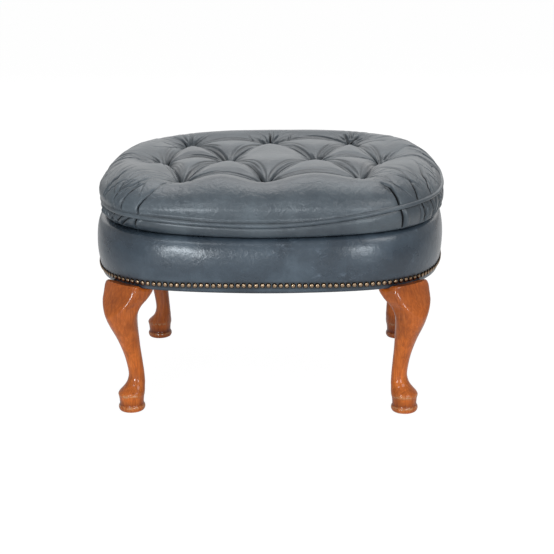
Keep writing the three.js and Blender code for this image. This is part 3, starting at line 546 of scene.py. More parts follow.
# Pleats that gather the leather into the seam at the rounded ends: places in the same shares, a depth
# in mm, and the share of the pleat that gapes
pleats = [
    ([(0.605, 0.985), (0.605, 0.94), (0.604, 0.883), (0.6, 0.831), (0.595, 0.771), (0.5944, 0.719),
      (0.6, 0.669)], 7, 0.5),
    ([(0.616, 0.988), (0.6169, 0.964), (0.6188, 0.905), (0.6206, 0.843), (0.6212, 0.793), (0.6194, 0.736),
      (0.626, 0.67)], 6.5, 0.5),
    ([(0.6355, 0.988), (0.6362, 0.952), (0.6388, 0.917), (0.6419, 0.862), (0.6425, 0.817), (0.6419, 0.783),
      (0.645, 0.755)], 7, 0.5),
    ([(0.6325, 0.9), (0.6288, 0.85), (0.6244, 0.815), (0.625, 0.781), (0.6288, 0.736), (0.6381, 0.714)], 3, 0),
    ([(0.6013, 0.914), (0.5894, 0.857), (0.5756, 0.81), (0.5681, 0.76), (0.5569, 0.681)], 3.5, 0.1),
    ([(0.5919, 0.907), (0.5775, 0.862), (0.5619, 0.807), (0.5463, 0.762)], 3, 0),
    ([(0.5844, 0.914), (0.5644, 0.869), (0.5475, 0.829)], 3, 0),
    ([(0.6075, 0.907), (0.6063, 0.869), (0.6056, 0.805), (0.6038, 0.745), (0.61, 0.698), (0.621, 0.64)], 4, 0.1),
    ([(0.6175, 0.831), (0.615, 0.771), (0.6162, 0.726), (0.6281, 0.69)], 3.5, 0.1),
    ([(0.5312, 0.617), (0.4975, 0.705), (0.4756, 0.812)], 2.5, 0),
    ([(0.562, 0.99), (0.558, 0.92), (0.551, 0.82), (0.545, 0.72)], 4.5, 0.25),
    ([(0.533, 0.99), (0.532, 0.93), (0.526, 0.84), (0.522, 0.76)], 4, 0.2),
    ([(0.506, 0.99), (0.505, 0.93), (0.507, 0.86), (0.504, 0.78)], 4, 0.3),
    ([(0.477, 0.99), (0.478, 0.93), (0.481, 0.84), (0.484, 0.76)], 4, 0.2),
    ([(0.447, 0.99), (0.45, 0.92), (0.456, 0.82), (0.46, 0.72)], 4.5, 0.3),
    ([(0.418, 0.99), (0.416, 0.92), (0.421, 0.81), (0.426, 0.69)], 6, 0.25),
    ([(0.385, 0.99), (0.392, 0.938), (0.394, 0.848), (0.396, 0.748), (0.394, 0.648)], 6, 0.35),
    ([(0.362, 0.985), (0.361, 0.9), (0.362, 0.83), (0.36, 0.72)], 6.5, 0.45),
    ([(0.871, 0.99), (0.8712, 0.94), (0.8712, 0.9), (0.8712, 0.869), (0.868, 0.838), (0.866, 0.802),
      (0.865, 0.76)], 7.5, 0.6),
    ([(0.893, 0.99), (0.8944, 0.96), (0.8975, 0.902), (0.9019, 0.85), (0.9062, 0.802), (0.9106, 0.755),
      (0.9169, 0.671), (0.915, 0.631), (0.9006, 0.614)], 5.5, 0.35),
    ([(0.917, 0.985), (0.9181, 0.945), (0.925, 0.902), (0.9306, 0.86), (0.9537, 0.805), (0.9681, 0.769),
      (0.9725, 0.698)], 5.5, 0.45),
    ([(0.8688, 0.905), (0.8669, 0.867), (0.865, 0.848)], 3, 0.8),
    ([(0.9256, 0.943), (0.9413, 0.876), (0.97, 0.826), (0.9962, 0.781)], 3, 0),
    ([(0.9387, 0.955), (0.9631, 0.91), (0.9956, 0.888), (1.0175, 0.855)], 3, 0.2),
    ([(0.905, 0.945), (0.9088, 0.886), (0.9188, 0.817), (0.9269, 0.736), (0.9263, 0.669)], 2.5, 0),
    ([(0.994, 0.99), (0.997, 0.93), (0.999, 0.85), (0.999, 0.76)], 4, 0.2),
    ([(0.026, 0.99), (0.024, 0.93), (0.02, 0.84), (0.018, 0.76)], 4, 0.25),
    ([(0.058, 0.99), (0.054, 0.92), (0.047, 0.82), (0.042, 0.72)], 4.5, 0.3),
    ([(0.087, 0.99), (0.083, 0.92), (0.077, 0.81), (0.07, 0.69)], 6, 0.3),
    ([(0.113, 0.99), (0.108, 0.93), (0.106, 0.85), (0.104, 0.75), (0.106, 0.65)], 6, 0.4),
    ([(0.138, 0.985), (0.139, 0.9), (0.138, 0.83), (0.14, 0.72)], 6.5, 0.45),
]


def sideProfile(side, rise):  # evenly spaced insets and heights from the seam to the scaled rings
    seam = seat["seamHeight"] + (seat["seamRiseLeft"] if side < 0 else seat["seamRiseRight"]) * rise
    heights = np.linspace(seam, max(seam, seat["wideHeight"]), 60)
    # The plan's x whose own rise is this one, for the tuck under the left end
    x = side * halfWidth * np.interp(rise, ease(np.linspace(0, 1, 400)), np.linspace(0, 1, 400))
    insets = cushionInset(heights, x)
    upperInset = insets[-1] + (cushion["sideInset"] - insets[-1]) * np.linspace(0, 1, 600) ** 2.2
    allInset = np.concatenate([insets, upperInset[1:]])
    allHeight = np.concatenate([heights, crownAt(upperInset[1:])])
    length = np.concatenate([[0], np.cumsum(np.hypot(np.diff(allInset), np.diff(allHeight)))])
    wanted = np.linspace(0, length[-1], cushion["sideRings"] + 1)
    return np.interp(wanted, length, allInset), np.interp(wanted, length, allHeight)


riseLevels = np.linspace(0, 1, cushion["levels"])
sideTable = np.array([[sideProfile(side, rise) for rise in riseLevels] for side in (-1, 1)])


def surfacePoint(share, seamShare):  # a place on the plain cushion; the second share is 0 in the middle, 1 at the seam
    share, seamShare = np.broadcast_arrays(np.asarray(share, float), np.asarray(seamShare, float))
    direction = directionAt(share)
    edgeX, _ = planPoint(0, direction)
    level = ease(np.abs(edgeX) / halfWidth) * (cushion["levels"] - 1.001)
    step = np.clip((1 - seamShare) * cushion["grid"], 0, cushion["sideRings"] - 1e-6)
    lowLevel, lowStep = level.astype(int), step.astype(int)
    levelPart, stepPart = level - lowLevel, step - lowStep
    isRight = (edgeX >= 0).astype(int)
    picked = []
    for table in (sideTable[:, :, 0], sideTable[:, :, 1]):
        near, far = (table[isRight, row, lowStep] * (1 - stepPart) + table[isRight, row, lowStep + 1] * stepPart
                     for row in (lowLevel, lowLevel + 1))
        picked.append(near * (1 - levelPart) + far * levelPart)
    inset, height = picked
    x, y = planPoint(inset, direction)
    startX, startY = planPoint(cushion["sideInset"], direction)
    middleShare = seamShare * cushion["grid"] / (cushion["grid"] - cushion["sideRings"])
    isInner = middleShare < 1
    x, y = np.where(isInner, startX * middleShare, x), np.where(isInner, startY * middleShare, y)
    height = np.where(isInner, crownAt(insetAt(x, y)), height)
    return settled(x, y, height)


slitReach = 6                # mm, from the middle of a slit to where its share runs out


def cushionGrid():
    count = cushion["grid"]
    index = np.arange(-count, count + 1)
    column, row = np.meshgrid(index, index, indexing="ij")
    ring = np.maximum(np.abs(column), np.abs(row))
    # Way round the square ring, from the middle of its right side
    way = np.where(column == ring, row, 0)
    way = np.where((row == ring) & (column != ring), 2 * ring - column, way)
    way = np.where((column == -ring) & (row != ring), 4 * ring - row, way)
    way = np.where((row == -ring) & (column != -ring) & (column != ring), 6 * ring + column, way)
    share = np.mod(way / (8 * np.maximum(ring, 1)), 1)
    points = surfacePoint(share.ravel(), ring.ravel() / count)
    size = 2 * count + 1
    corner = (column[:-1, :-1] + count) * size + row[:-1, :-1] + count
    faces = np.stack([corner, corner + size, corner + size + 1, corner + 1], axis=-1).reshape(-1, 4)
    return points, faces, ring.ravel() / count


def splineRows(rows, count):  # Catmull-Rom through the rows
    rows = np.array(rows, float)
    ends = np.vstack([2 * rows[0] - rows[1], rows, 2 * rows[-1] - rows[-2]])
    result = []
    for value in np.linspace(0, len(rows) - 1 - 1e-9, count):
        index, part = int(value), value - int(value)
        p0, p1, p2, p3 = ends[index:index + 4]
        result.append(0.5 * (2 * p1 + (p2 - p0) * part + (2 * p0 - 5 * p1 + 4 * p2 - p3) * part ** 2
                             + (3 * p1 - p0 - 3 * p2 + p3) * part ** 3))
    return np.array(result)


def crownPath(start, end, steps=24, bend=0):
    share = np.linspace(0, 1, steps + 1)
    x = start[0] + (end[0] - start[0]) * share
    y = start[1] + (end[1] - start[1]) * share
    length = math.hypot(end[0] - start[0], end[1] - start[1])
    sag = bend * 4 * share * (1 - share)
    x, y = x - (end[1] - start[1]) / length * sag, y + (end[0] - start[0]) / length * sag
    return settled(x, y, crownAt(insetAt(x, y)))


# Which points are near a path, their distance from it, their way along it as a share, and their side of it
def nearPath(points, normals, path, reach):
    isNear = np.all((points > path.min(axis=0) - reach) & (points < path.max(axis=0) + reach), axis=1)
    near = np.flatnonzero(isNear)
    local, upward = points[near], normals[near]
    best = np.full(len(near), 1e9)
    way, side = np.zeros(len(near)), np.zeros(len(near))
    lengths = np.concatenate([[0], np.cumsum(np.linalg.norm(np.diff(path, axis=0), axis=1))])
    for index in range(len(path) - 1):
        step = path[index + 1] - path[index]
        size = step @ step
        if size < 1e-9:
            continue
        share = np.clip((local - path[index]) @ step / size, 0, 1)
        offset = local - path[index] - share[:, None] * step
        gap = np.linalg.norm(offset, axis=1)
        isNearer = gap < best
        best = np.where(isNearer, gap, best)
        way = np.where(isNearer, (lengths[index] + share * math.sqrt(size)) / lengths[-1], way)
        across = np.cross(step / math.sqrt(size), upward)
        side = np.where(isNearer, np.sum(offset * across, axis=1), side)
    return near, best, way, side


def keepHigher(values, near, line):
    values[near] = np.maximum(values[near], line)


def pathOver(places, count, start=None):  # a smooth path through places of the plain cushion
    rows = [surfacePoint(*place) for place in places]
    return splineRows(rows if start is None else [start] + rows, count)


def addPleats(random, base, normals, drop, creaseShadeShare, slit):
    # A groove where one fold of leather laps over the other, gaping near the seam
    for places, deep, openShare in pleats:
        near, gap, way, side = nearPath(base, normals, pathOver(places, 40), 30)
        fade = np.clip((1 - way) * 2.2, 0, 1) * np.clip(way * 12 + 0.6, 0, 1)
        gape = ease((openShare - way) * 3 + 0.4) if openShare else 0 * way
        lap = np.tanh(side / 1.4) * bell(gap / 8)
        groove = (0.3 + 0.3 * gape) * bell(gap / (1.6 + 2.4 * way)) + 0.3 * gape * bell(gap / 1.3)
        drop[near] += deep * fade * (groove - 0.16 * lap)
        strength = np.clip(deep / 5, 0, 1) * fade * (0.4 + 0.6 * gape)
        # Painted shade in the groove, and black painted shade where it gapes
        keepHigher(creaseShadeShare, near, strength * bell(gap / (1.2 + 0.5 * gape)))
        strength = (0.4 + 0.62 * gape) * fade * np.clip(deep / 5.5, 0, 1.08)
        keepHigher(slit, near, strength * np.clip(1 - gap / slitReach, 0, 1))
    # Faint gathers between the pleats
    for number in range(cushion["gathers"]):
        place = random.uniform(0, 1)
        edgeX = float(planPoint(0, float(directionAt(place)))[0])
        turn = random.uniform(-0.02, 0.02)
        first, last = random.uniform(0.9, 0.99), random.uniform(0.72, 0.86)
        strength = random.uniform(0.6, 2.4) * float(ease((abs(edgeX) / halfWidth - cushion["gatherStart"]) / 0.12))
        if strength < 0.1:
            continue
        places = [(place + turn * way, first + (last - first) * way) for way in (0, 0.3, 0.6, 1)]
        near, gap, way, _ = nearPath(base, normals, pathOver(places, 14), 12)
        drop[near] += strength * bell(gap / 1.8) * np.sin(math.pi * np.clip(way * 0.9 + 0.1, 0, 1))
        # A faint painted shade line along each gather
        keepHigher(creaseShadeShare, near, 0.25 * strength * bell(gap / 1.2) * np.sin(math.pi * way))


def makeCushionTop():
    random = np.random.default_rng(cushion["seed"])
    points, faces, seamShare = cushionGrid()
    piece = meshPiece("cushionTop", points, faces)
    base, normals = getPoints(piece), getNormals(piece)
    if normals[np.argmax(base[:, 2])][2] < 0:
        normals = -normals
    tuftX, tuftY, tuftDepth, reachIn, reachOut = np.array(tuftTable, float).T
    tufts = settled(tuftX, tuftY, crownAt(insetAt(tuftX, tuftY)))
    apart = base[:, None, :2] - tufts[None, :, :2]
    tuftGaps = np.linalg.norm(apart, axis=2)
    tuftGap = np.min(tuftGaps, axis=1)
    # Towards the edge of the cushion: along Y for the front and back rows, along X for the middle one
    outward = np.where(np.abs(tuftY)[:, None] > 60, np.stack([0 * tuftY, np.sign(tuftY)], axis=1),
                       np.stack([np.sign(tuftX), 0 * tuftX], axis=1))
    outShare = np.clip(np.sum(apart * outward, axis=2) / np.maximum(tuftGaps, 1e-6), 0, 1) ** 2
    hollows = tuftDepth * np.exp(-tuftGaps / (reachIn + (reachOut - reachIn) * outShare))
    reach = np.minimum(cushion["pillowCorner"] + 0.6 * tuftGap, cushion["pillowReach"])
    valley, closed, fold, dark, slit, wrinkled, shaded = np.zeros((7, len(base)))

    def addCrease(path, depth, strength):
        near, gap, way, _ = nearPath(base, normals, path, cushion["pillowReach"])
        force = strength(way)
        away = np.clip(gap / reach[near], 0, 1)
        power = cushion["pillowPower"]
        valley[near] += (depth * force * (1 - (1 - (1 - away) ** power) ** (1 / power))) ** 4
        closed[near] += (force * (1 - ease(away))) ** 4
        keepHigher(fold, near, force * bell(gap / cushion["cutWidth"]))
        keepHigher(dark, near, force * bell(gap / cushion["darkWidth"]))
        keepHigher(slit, near, force * np.clip(1 - gap / slitReach, 0, 1))

    def addWrinkle(path, depth, width, strength, shade):
        near, gap, way, _ = nearPath(base, normals, path, 4 * width)
        line = strength(way) * bell(gap / width)
        wrinkled[near] += depth * line
        keepHigher(shaded, near, shade * line)

    for first, last, depth in tuftLinks:
        bend = random.uniform(-4, 4)
        addCrease(crownPath(tufts[first], tufts[last], bend=bend), depth, np.ones_like)
        # Fine folds that run beside the crease and meet it at the tufts
        for side in (-1, 1):
            for number in range(3):
                away = side * (5 + cushion["fineGap"] * number + random.uniform(-1.5, 1.5))
                middle, half = random.uniform(0.2, 0.8), random.uniform(0.18, 0.4)
                path = crownPath(tufts[first], tufts[last], bend=bend + away)
                addWrinkle(path, random.uniform(0.7, 1.7), random.uniform(1.5, 2.3),
                           lambda way: ease(1.6 - np.abs(way - middle) / half), random.uniform(0.15, 0.5))
    for tuft, places, strong in runOuts:
        addCrease(pathOver(places, 24, tufts[tuft]), cushion["runOutDepth"],
                  lambda way: 1 - (1 - strong * np.clip(2.2 * (1 - way), 0, 1)) * ease(way * 3))
    for tuft, places, depth, shade in fans:
        path = pathOver(places, 24, tufts[tuft])
        addWrinkle(path, depth, cushion["fanWidth"], lambda way: (1 - 0.5 * way) * ease((1 - way) * 4), shade)
        near, gap, way, _ = nearPath(base, normals, path, slitReach)
        # Painted shade: a black slit along the stronger fans
        keepHigher(slit, near, (0.15 + 0.9 * shade) * (1.05 - 0.25 * way) * (1 - gap / slitReach))
    valley, closed = valley ** 0.25, np.clip(closed ** 0.25, 0, 1)
    hollow = np.sum(hollows ** 3, axis=1) ** (1 / 3)
    inset = insetAt(base[:, 0] - seat["shift"], base[:, 1])
    behind = ease(base[:, 1] / 60)
    rim = cushion["rimPuff"] * bell((inset - cushion["rimInset"]) / cushion["rimReach"])
    rim = rim * (1 - 0.9 * bell(tuftGap / cushion["rimDip"]) * (base[:, 1] < 0)) * (1 + 0.35 * behind)
    drop = hollow * (cushion["tuftEven"] + (1 - cushion["tuftEven"]) * closed)
    lighter = cushion["tuftLight"] * behind * ease((cushion["lightInset"] - inset) / cushion["lightReach"])
    drop = (drop + valley) * (1 - lighter)
    drop = drop - cushion["puff"] * (1 - closed) * ease(inset / 50) - rim
    fading = np.exp(-tuftGap / cushion["darkReach"])
    drop = drop + (0.6 + cushion["cutDepth"] * fading) * fold
    # Painted shade: dark lines along the creases and in the tuft pits
    creaseShadeShare = np.maximum(dark * (0.5 + 0.5 * fading), bell(tuftGap / 5))
    slit *= 1.12 * bell(tuftGap / cushion["slitReach"])
    addPleats(random, base, normals, drop, creaseShadeShare, slit)
    # Wrinkles that fan out from the tufts, longer towards the edge of the cushion
    for tuft in tufts:
        facing = math.atan2(tuft[1], tuft[0])
        isOuter = math.hypot(tuft[0] / 200, tuft[1] / 140) > 0.8
        for number in range(cushion["wrinkles"]):
            angle = facing + random.uniform(-1.9, 1.9) if isOuter else random.uniform(0, 2 * math.pi)
            start = tuft[:2] + random.uniform(5, 14) * np.array([math.cos(angle), math.sin(angle)])
            turned = angle + random.uniform(-0.25, 0.25)
            end = start + random.uniform(18, 60 if isOuter else 40) * np.array([math.cos(turned), math.sin(turned)])
            path = crownPath(start, end, steps=6, bend=random.uniform(-5, 5))
            addWrinkle(path, random.uniform(0.7, 2.0), random.uniform(1.5, 2.4),
                       lambda way: (1 - way) * np.clip(way * 6, 0.3, 1), random.uniform(0.1, 0.45))
    drop += cushion["wrinkleDepth"] * wrinkled
    # Painted shade along the wrinkles, and a painted shade line beside the welt
    creaseShadeShare = np.maximum(creaseShadeShare, cushion["wrinkleShade"] * shaded)
    creaseShadeShare = np.maximum(creaseShadeShare, cushion["seamDark"] * bell((1 - seamShare) / cushion["seamWidth"]))
    drop = drop * np.clip((1 - seamShare) * cushion["seamEase"], 0, 1)
    setPoints(piece, tucked(base - normals * drop[:, None]))
    paintShare(piece, "creaseShadeShare", np.clip(creaseShadeShare, 0, 1))
    paintShare(piece, "slitShadeShare", slit)
    paintShare(piece, "wearShare", 0.35 + 0.65 * ease((-base[:, 1] - 120) / 90))
    return piece


def closeUnder(piece, shrink):  # closes an open shell by pulling its rim inwards
    pick(piece)
    bpy.ops.object.mode_set(mode="EDIT")
    bpy.ops.mesh.select_mode(type="EDGE")
    bpy.ops.mesh.select_all(action="DESELECT")
    bpy.ops.mesh.select_non_manifold()
    bpy.ops.mesh.extrude_region_move(TRANSFORM_OT_translate={"value": (0, 0, 0)})
    bpy.ops.transform.resize(value=(shrink, shrink, 1), center_override=(0, 0, 0))
    bpy.ops.mesh.edge_face_add()
    alignNormals(piece)


cushionTop = makeCushionTop()
closeUnder(cushionTop, cushion["rimShrink"])
cushionTop.data.materials.append(cushionLeather)
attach(cushionTop, "root")
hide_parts("cushion_top", "cushion_core")
print("cushion top made", len(cushionTop.data.polygons))


weltLook = {"radius": 4.2, "sink": 1.5, "stations": 420, "sides": 12}


def makeWelt():
    count, sides = weltLook["stations"], weltLook["sides"]
    direction = directionAt(np.arange(count) / count)
    x, _ = planPoint(0, direction)
    height = seamAt(x)
    inset = cushionInset(height, x) + weltLook["sink"]
    rings = []
    for side in range(sides):
        angle = 2 * math.pi * side / sides
        px, py = planPoint(inset + weltLook["radius"] * math.cos(angle), direction)
        level = height + weltLook["radius"] * math.sin(angle)
        rings.append(settled(px, py, level))
    piece = meshPiece("cushionWelt", tucked(np.concatenate(rings)), hoopFaces(sides, count, True))
    paintShare(piece, "creaseShadeShare", np.zeros(sides * count))
    paintShare(piece, "wearShare", np.full(sides * count, 0.5))
    return piece


cushionWelt = makeWelt()
cushionWelt.data.materials.append(cushionLeather)
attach(cushionWelt, "root")
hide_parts("cushion_welt")
print("welt made")


panel = {
    "seed": 11,
    "stations": 1500,
    "steps": 26,
    "bulge": 2.2,
    "gatherStart": 0.8,      # share of the half width beyond which the leather is gathered
    "gatherDepth": 3.6,
    # Millimetres inwards and up: the edge turned in below, and the inner wall back up to the welt
    "turnedIn": [(2.5, 1.6), (6, 0.5), (12, 0.2), (90, 0.2)],
    "innerWall": [(90, 4), (14, 6)],
    # The strongest folds: share round the outline at the welt and at the bottom, share of the depth
    "folds": [(0.8725, 0.877, 1.6), (0.8975, 0.906, 1.3), (0.912, 0.923, 1.3), (0.93, 0.952, 1.1),
              (0.905, 0.913, 0.8), (0.6345, 0.6285, 1.6), (0.628, 0.61, 1.1), (0.618, 0.604, 1.2),
              (0.6055, 0.595, 1.2), (0.5875, 0.594, 1.2), (0.596, 0.613, 1.1), (0.58, 0.587, 1.3),
              (0.572, 0.58, 1.1), (0.565, 0.57, 1.3), (0.37, 0.373, 1.2), (0.387, 0.384, 1), (0.13, 0.127, 1.2),
              (0.113, 0.117, 1)],
}


def makeLowerPanel():
    random = np.random.default_rng(panel["seed"])
    count, steps = panel["stations"], panel["steps"]
    share = np.arange(count) / count
    direction = directionAt(share)
    x, _ = planPoint(0, direction)
    seam, joint = seamAt(x), jointAt(x)
    weltInset = cushionInset(seam, x) + weltLook["sink"]
    folds = list(panel["folds"])
    for start in np.arange(0, 1, 0.011):
        place = start + random.uniform(-0.005, 0.005)
        px, _ = planPoint(0, float(directionAt(place)))
        if abs(float(px)) > panel["gatherStart"] * halfWidth:
            folds.append((place, place + random.uniform(-0.008, 0.008), random.uniform(0.3, 0.9)))
    startShare, endShare, strength = np.array(folds)[:, :, None].transpose(1, 0, 2)
    width = random.uniform(1.8, 3.2, len(folds))[:, None]
    rings, creases, slits = [], [], []

    def addRing(inset, height, crease=0 * x, slit=0 * x):
        px, py = planPoint(inset, direction)
        rings.append(np.stack([px + seat["shift"], py, height], axis=1))
        creases.append(crease)
        slits.append(slit)

    for step in range(steps + 1):
        level = step / steps
        height = seam - 2 + (joint + 4 - seam + 2) * level
        inset = cushionInset(height, x) - panel["bulge"] * np.sin(math.pi * level) + 3 * (1 - level) ** 6
        place = startShare + (endShare - startShare) * level
        apart = (np.mod(share[None, :] - place + 0.5, 1) - 0.5) * outlineLengths[-1]
        gather = np.sum(strength * (bell(apart / width) - 0.4 * bell((apart - 7) / 4.5)), axis=0)
        pull = gather * panel["gatherDepth"] * (0.25 + 0.75 * np.sin(math.pi * (0.15 + 0.85 * (1 - level))))
        fade = np.sin(math.pi * (0.12 + 0.8 * (1 - level)))
        # Painted shade: along the folds, a little over the whole panel and more just below the welt, with black
        # painted shade in the gaps between folds
        line = np.clip(np.max(strength * bell(apart / 1.7), axis=0) * 1.2 - 0.3, 0, 1) * fade
        gap = np.max(np.minimum(strength, 1.25) * np.clip(1 - np.abs(apart) / slitReach, 0, 1), axis=0)
        addRing(inset + pull, height, np.maximum(line, 0.15 + 0.6 * bell(level / 0.12)), gap * (0.75 + 0.25 * fade))
    for inward, lift in panel["turnedIn"]:
        addRing(cushionInset(joint + 4, x) + inward, jointAt(x, inward) + lift)
    for inward, lift in panel["innerWall"]:
        addRing(weltInset + inward, jointAt(x, inward) + lift)
    addRing(weltInset + 6, seam - 2.5)
    piece = meshPiece("cushionLowerPanel", tucked(np.concatenate(rings)), hoopFaces(len(rings), count, True))
    paintShare(piece, "creaseShadeShare", np.concatenate(creases))
    paintShare(piece, "slitShadeShare", np.concatenate(slits))
    paintShare(piece, "wearShare", np.full(len(rings) * count, 0.5))
    return piece


cushionLowerPanel = makeLowerPanel()
cushionLowerPanel.data.materials.append(cushionLeather)
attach(cushionLowerPanel, "root")
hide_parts("cushion_lower_panel")
print("lower panel made")


band = {
    "stations": 720,
    "outline": [(7.5, 236.3), (6.2, 243.5), (4.9, 251.5), (3.6, 260), (2.2, 268), (0.9, 278), (0.2, 290),
                (0.7, 302), (2.4, 314), (4.6, 322), (7.4, 328), (11.5, 332), (17, 333.8), (24, 334.4), (60, 334.6)],
    "inner": [(60, 331.5), (36.5, 331.5), (36.5, 312), (11.2, 312), (11.2, 264), (9.5, 250), (9.6, 236.3)],
    "nailHeight": 251.5,
    "nailPitch": 10.8,       # the heads touch
    "nailLine": 0.985,       # length of their row, as a share of the outline's
    "sag": 3.2,              # the lower edge hangs lower in the middle of each side
    "sagReach": 208,
    "lowEdge": 236.3,
    "sagTop": 245,
    "liftFrom": 290,         # the height from which the band follows the rise of the joint
    "waves": [(0.54, 7, 0.8), (0.36, 17, 2)],      # height in mm, how many round the band, and start
    "waveHeight": 292,
    "waveReach": 26,
    "pucker": 0.35,          # between the nails
    "puckerReach": 7,
}


def bandInset(height):
    outline = band["outline"][:12]
    return np.interp(height, [point[1] for point in outline], [point[0] for point in outline])


def makeBand():
    count = band["stations"]
    share = np.arange(count) / count
    direction = directionAt(share)
    x, _ = planPoint(0, direction)
    outer = np.array(band["outline"], float)
    length = np.concatenate([[0], np.cumsum(np.linalg.norm(np.diff(outer, axis=0), axis=1))])
    wanted = np.concatenate([np.linspace(0, length[-2], 56), [length[-1]]])
    dense = np.stack([np.interp(wanted, length, outer[:, 0]), np.interp(wanted, length, outer[:, 1])], axis=1)
    for _ in range(3):
        dense[1:-2] = (dense[:-3] + 2 * dense[1:-2] + dense[2:-1]) / 4
    profile = np.concatenate([dense, np.array(band["inner"], float)])
    rings = []
    for inset, height in profile:
        lift = np.clip((height - band["liftFrom"]) / (seat["jointHeight"] - band["liftFrom"] - 7), 0, 1)
        low = np.clip((band["sagTop"] - height) / (band["sagTop"] - band["lowEdge"]), 0, 1)
        sag = low * band["sag"] * ease(np.abs(x) / band["sagReach"])
        raised = height + (jointAt(x, inset) - seat["jointHeight"]) * lift + sag
        px, py = planPoint(inset, direction)
        rings.append(np.stack([px, py, raised], axis=1))
    points = np.concatenate(rings)
    piece = meshPiece("baseBand", points, hoopFaces(len(profile), count, True))
    isOuter = np.arange(len(points)) < len(dense) * count
    # Shallow hollows and swells of the padding, and a pucker between the nails
    wave = sum(high * np.sin(share * 2 * math.pi * times + start) for high, times, start in band["waves"])
    wave = np.tile(wave, len(profile)) * bell((points[:, 2] - band["waveHeight"]) / band["waveReach"])
    nailCount = round(outlineLengths[-1] * band["nailLine"] / band["nailPitch"])
    pucker = band["pucker"] * np.cos(np.tile(share, len(profile)) * 2 * math.pi * nailCount)
    pucker = pucker * bell((points[:, 2] - band["nailHeight"]) / band["puckerReach"])
    base, normals = getPoints(piece), getNormals(piece)
    setPoints(piece, base + normals * ((wave + pucker) * isOuter)[:, None])
    # Painted shade along the lower edge and beside the nails
    besideNails = (np.abs(points[:, 2] - band["nailHeight"]) - 4.5) / 2.2
    paintShare(piece, "creaseShadeShare", np.maximum(0.6 * bell((points[:, 2] - 237) / 3.5), 0.8 * bell(besideNails)))
    paintShare(piece, "wearShare", 0.5 + 0.4 * ease((-points[:, 1] - 100) / 100))
    return piece


baseBand = makeBand()
baseBand.data.materials.append(bandLeather)
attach(baseBand, "root")
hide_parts("base_cover", "band_padding_front", "band_padding_rear", "band_padding_left",
            "band_padding_right")
print("band made")


deck = {
    "stations": 120,
    # inset and height, then shares of the last ring
    "rings": [(37, 311), (36.8, 322), (37.5, 329), (44, 330.8), (62, 331), (63, 333.6)],
    "top": (0.75, 0.5, 0.25),
    "topHeight": 334,
    "riseFrom": 315,
}


def makeDeck():
    count = deck["stations"]
    direction = directionAt(np.arange(count) / count)
    x, _ = planPoint(0, direction)
    rings = []
    for inset, height in deck["rings"]:
        px, py = planPoint(inset, direction)
        rise = (jointAt(x, inset) - seat["jointHeight"]) * (height > deck["riseFrom"])
        rings.append(np.stack([px, py, height + rise], axis=1))
    for shrink in deck["top"]:
        rings.append(np.stack([px * shrink, py * shrink, deck["topHeight"] + 0 * px], axis=1))
    points = np.concatenate(rings)
    faces = [list(face) for face in hoopFaces(len(rings), count, False)]
    faces.append(list(range(count))[::-1])
    faces.append(list(range((len(rings) - 1) * count, len(rings) * count)))
    return meshPiece("deckPad", points, faces)


deckPad = makeDeck()
deckPad.data.materials.append(blackCambric)
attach(deckPad, "root")
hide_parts("deck_pad", "deck_cloth")
print("deck made")


nails = {
    "seed": 5,
    "headWidth": band["nailPitch"],
    "headHeight": 3.4,
    "squeeze": 0.985,        # so that the heads just miss each other
    "segments": 10,
    "rings": 6,
    "waver": 0.04,           # along the row, as a share of the pitch
    "wander": 0.35,          # mm up or down
    "tilt": 0.05,
    "sink": 0.4,
}


def makeNails():
    deselectAll()
    bpy.ops.mesh.primitive_uv_sphere_add(segments=nails["segments"], ring_count=nails["rings"],
                                         radius=nails["headWidth"] / 2000, location=(0, 0, 0))
    head = bpy.context.object
    bpy.ops.object.mode_set(mode="EDIT")
    bpy.ops.mesh.select_all(action="SELECT")
    bpy.ops.mesh.bisect(plane_co=(0, 0, 0), plane_no=(0, 0, 1), clear_inner=True, use_fill=True)
    bpy.ops.mesh.select_all(action="SELECT")
    flatten = nails["headHeight"] * 2 / nails["headWidth"]
    bpy.ops.transform.resize(value=(nails["squeeze"], nails["squeeze"], flatten), center_override=(0, 0, 0))
    bpy.ops.object.mode_set(mode="OBJECT")
    bpy.ops.object.shade_smooth_by_angle(angle=math.radians(50))
    heights = getPoints(head)[:, 2] / nails["headHeight"]
    # Share of the way down the dome, for the rim's patina and painted shade
    paintShare(head, "rimShare", 1 - np.clip(heights * 1.15, 0, 1))
    x, y = planPoint(bandInset(band["nailHeight"]), outlineDirections)
    lengths = np.concatenate([[0], np.cumsum(np.hypot(np.diff(x), np.diff(y)))])
    count = round(lengths[-1] / nails["headWidth"])
    random = np.random.default_rng(nails["seed"])
    copies = []
    for number in range(count):
        way = lengths[-1] * (number + random.uniform(-nails["waver"], nails["waver"])) / count
        direction = float(np.interp(way % lengths[-1], lengths, outlineDirections))
        height = band["nailHeight"] + random.uniform(-nails["wander"], nails["wander"])
        px, py = planPoint(bandInset(height), direction)
        ahead = planPoint(bandInset(height), direction + 0.002)
        along = Vector((float(ahead[0] - px), float(ahead[1] - py), 0)).normalized()
        slope = (bandInset(height + 4) - bandInset(height - 4)) / 8
        outward = along.cross(Vector((0, 0, 1))).normalized()
        upward = (Vector((0, 0, 1)) - outward * slope).normalized()
        outward = along.cross(upward).normalized()
        place = (Vector((float(px), float(py), height)) - outward * nails["sink"]) / 1000
        copy = head.copy()
        copy.data = head.data.copy()
        bpy.context.scene.collection.objects.link(copy)
        turn = Matrix((along, upward, outward)).transposed().to_4x4()
        for axis in ("X", "Y"):
            turn = turn @ Matrix.Rotation(random.uniform(-nails["tilt"], nails["tilt"]), 4, axis)
        copy.matrix_world = Matrix.Translation(place) @ turn
        copies.append(copy)
    bpy.data.objects.remove(head)
    deselectAll()
    for copy in copies:
        copy.select_set(True)
    bpy.context.view_layer.objects.active = copies[0]
    bpy.ops.object.join()
    piece = bpy.context.object
    bpy.ops.object.transform_apply(location=True, rotation=True, scale=True)
    piece.name = "nailHeads"
    print("nails", count)
    return piece


nailHeads = makeNails()
nailHeads.data.materials.append(antiqueBrass)
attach(nailHeads, "root")
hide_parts("nail_trim")


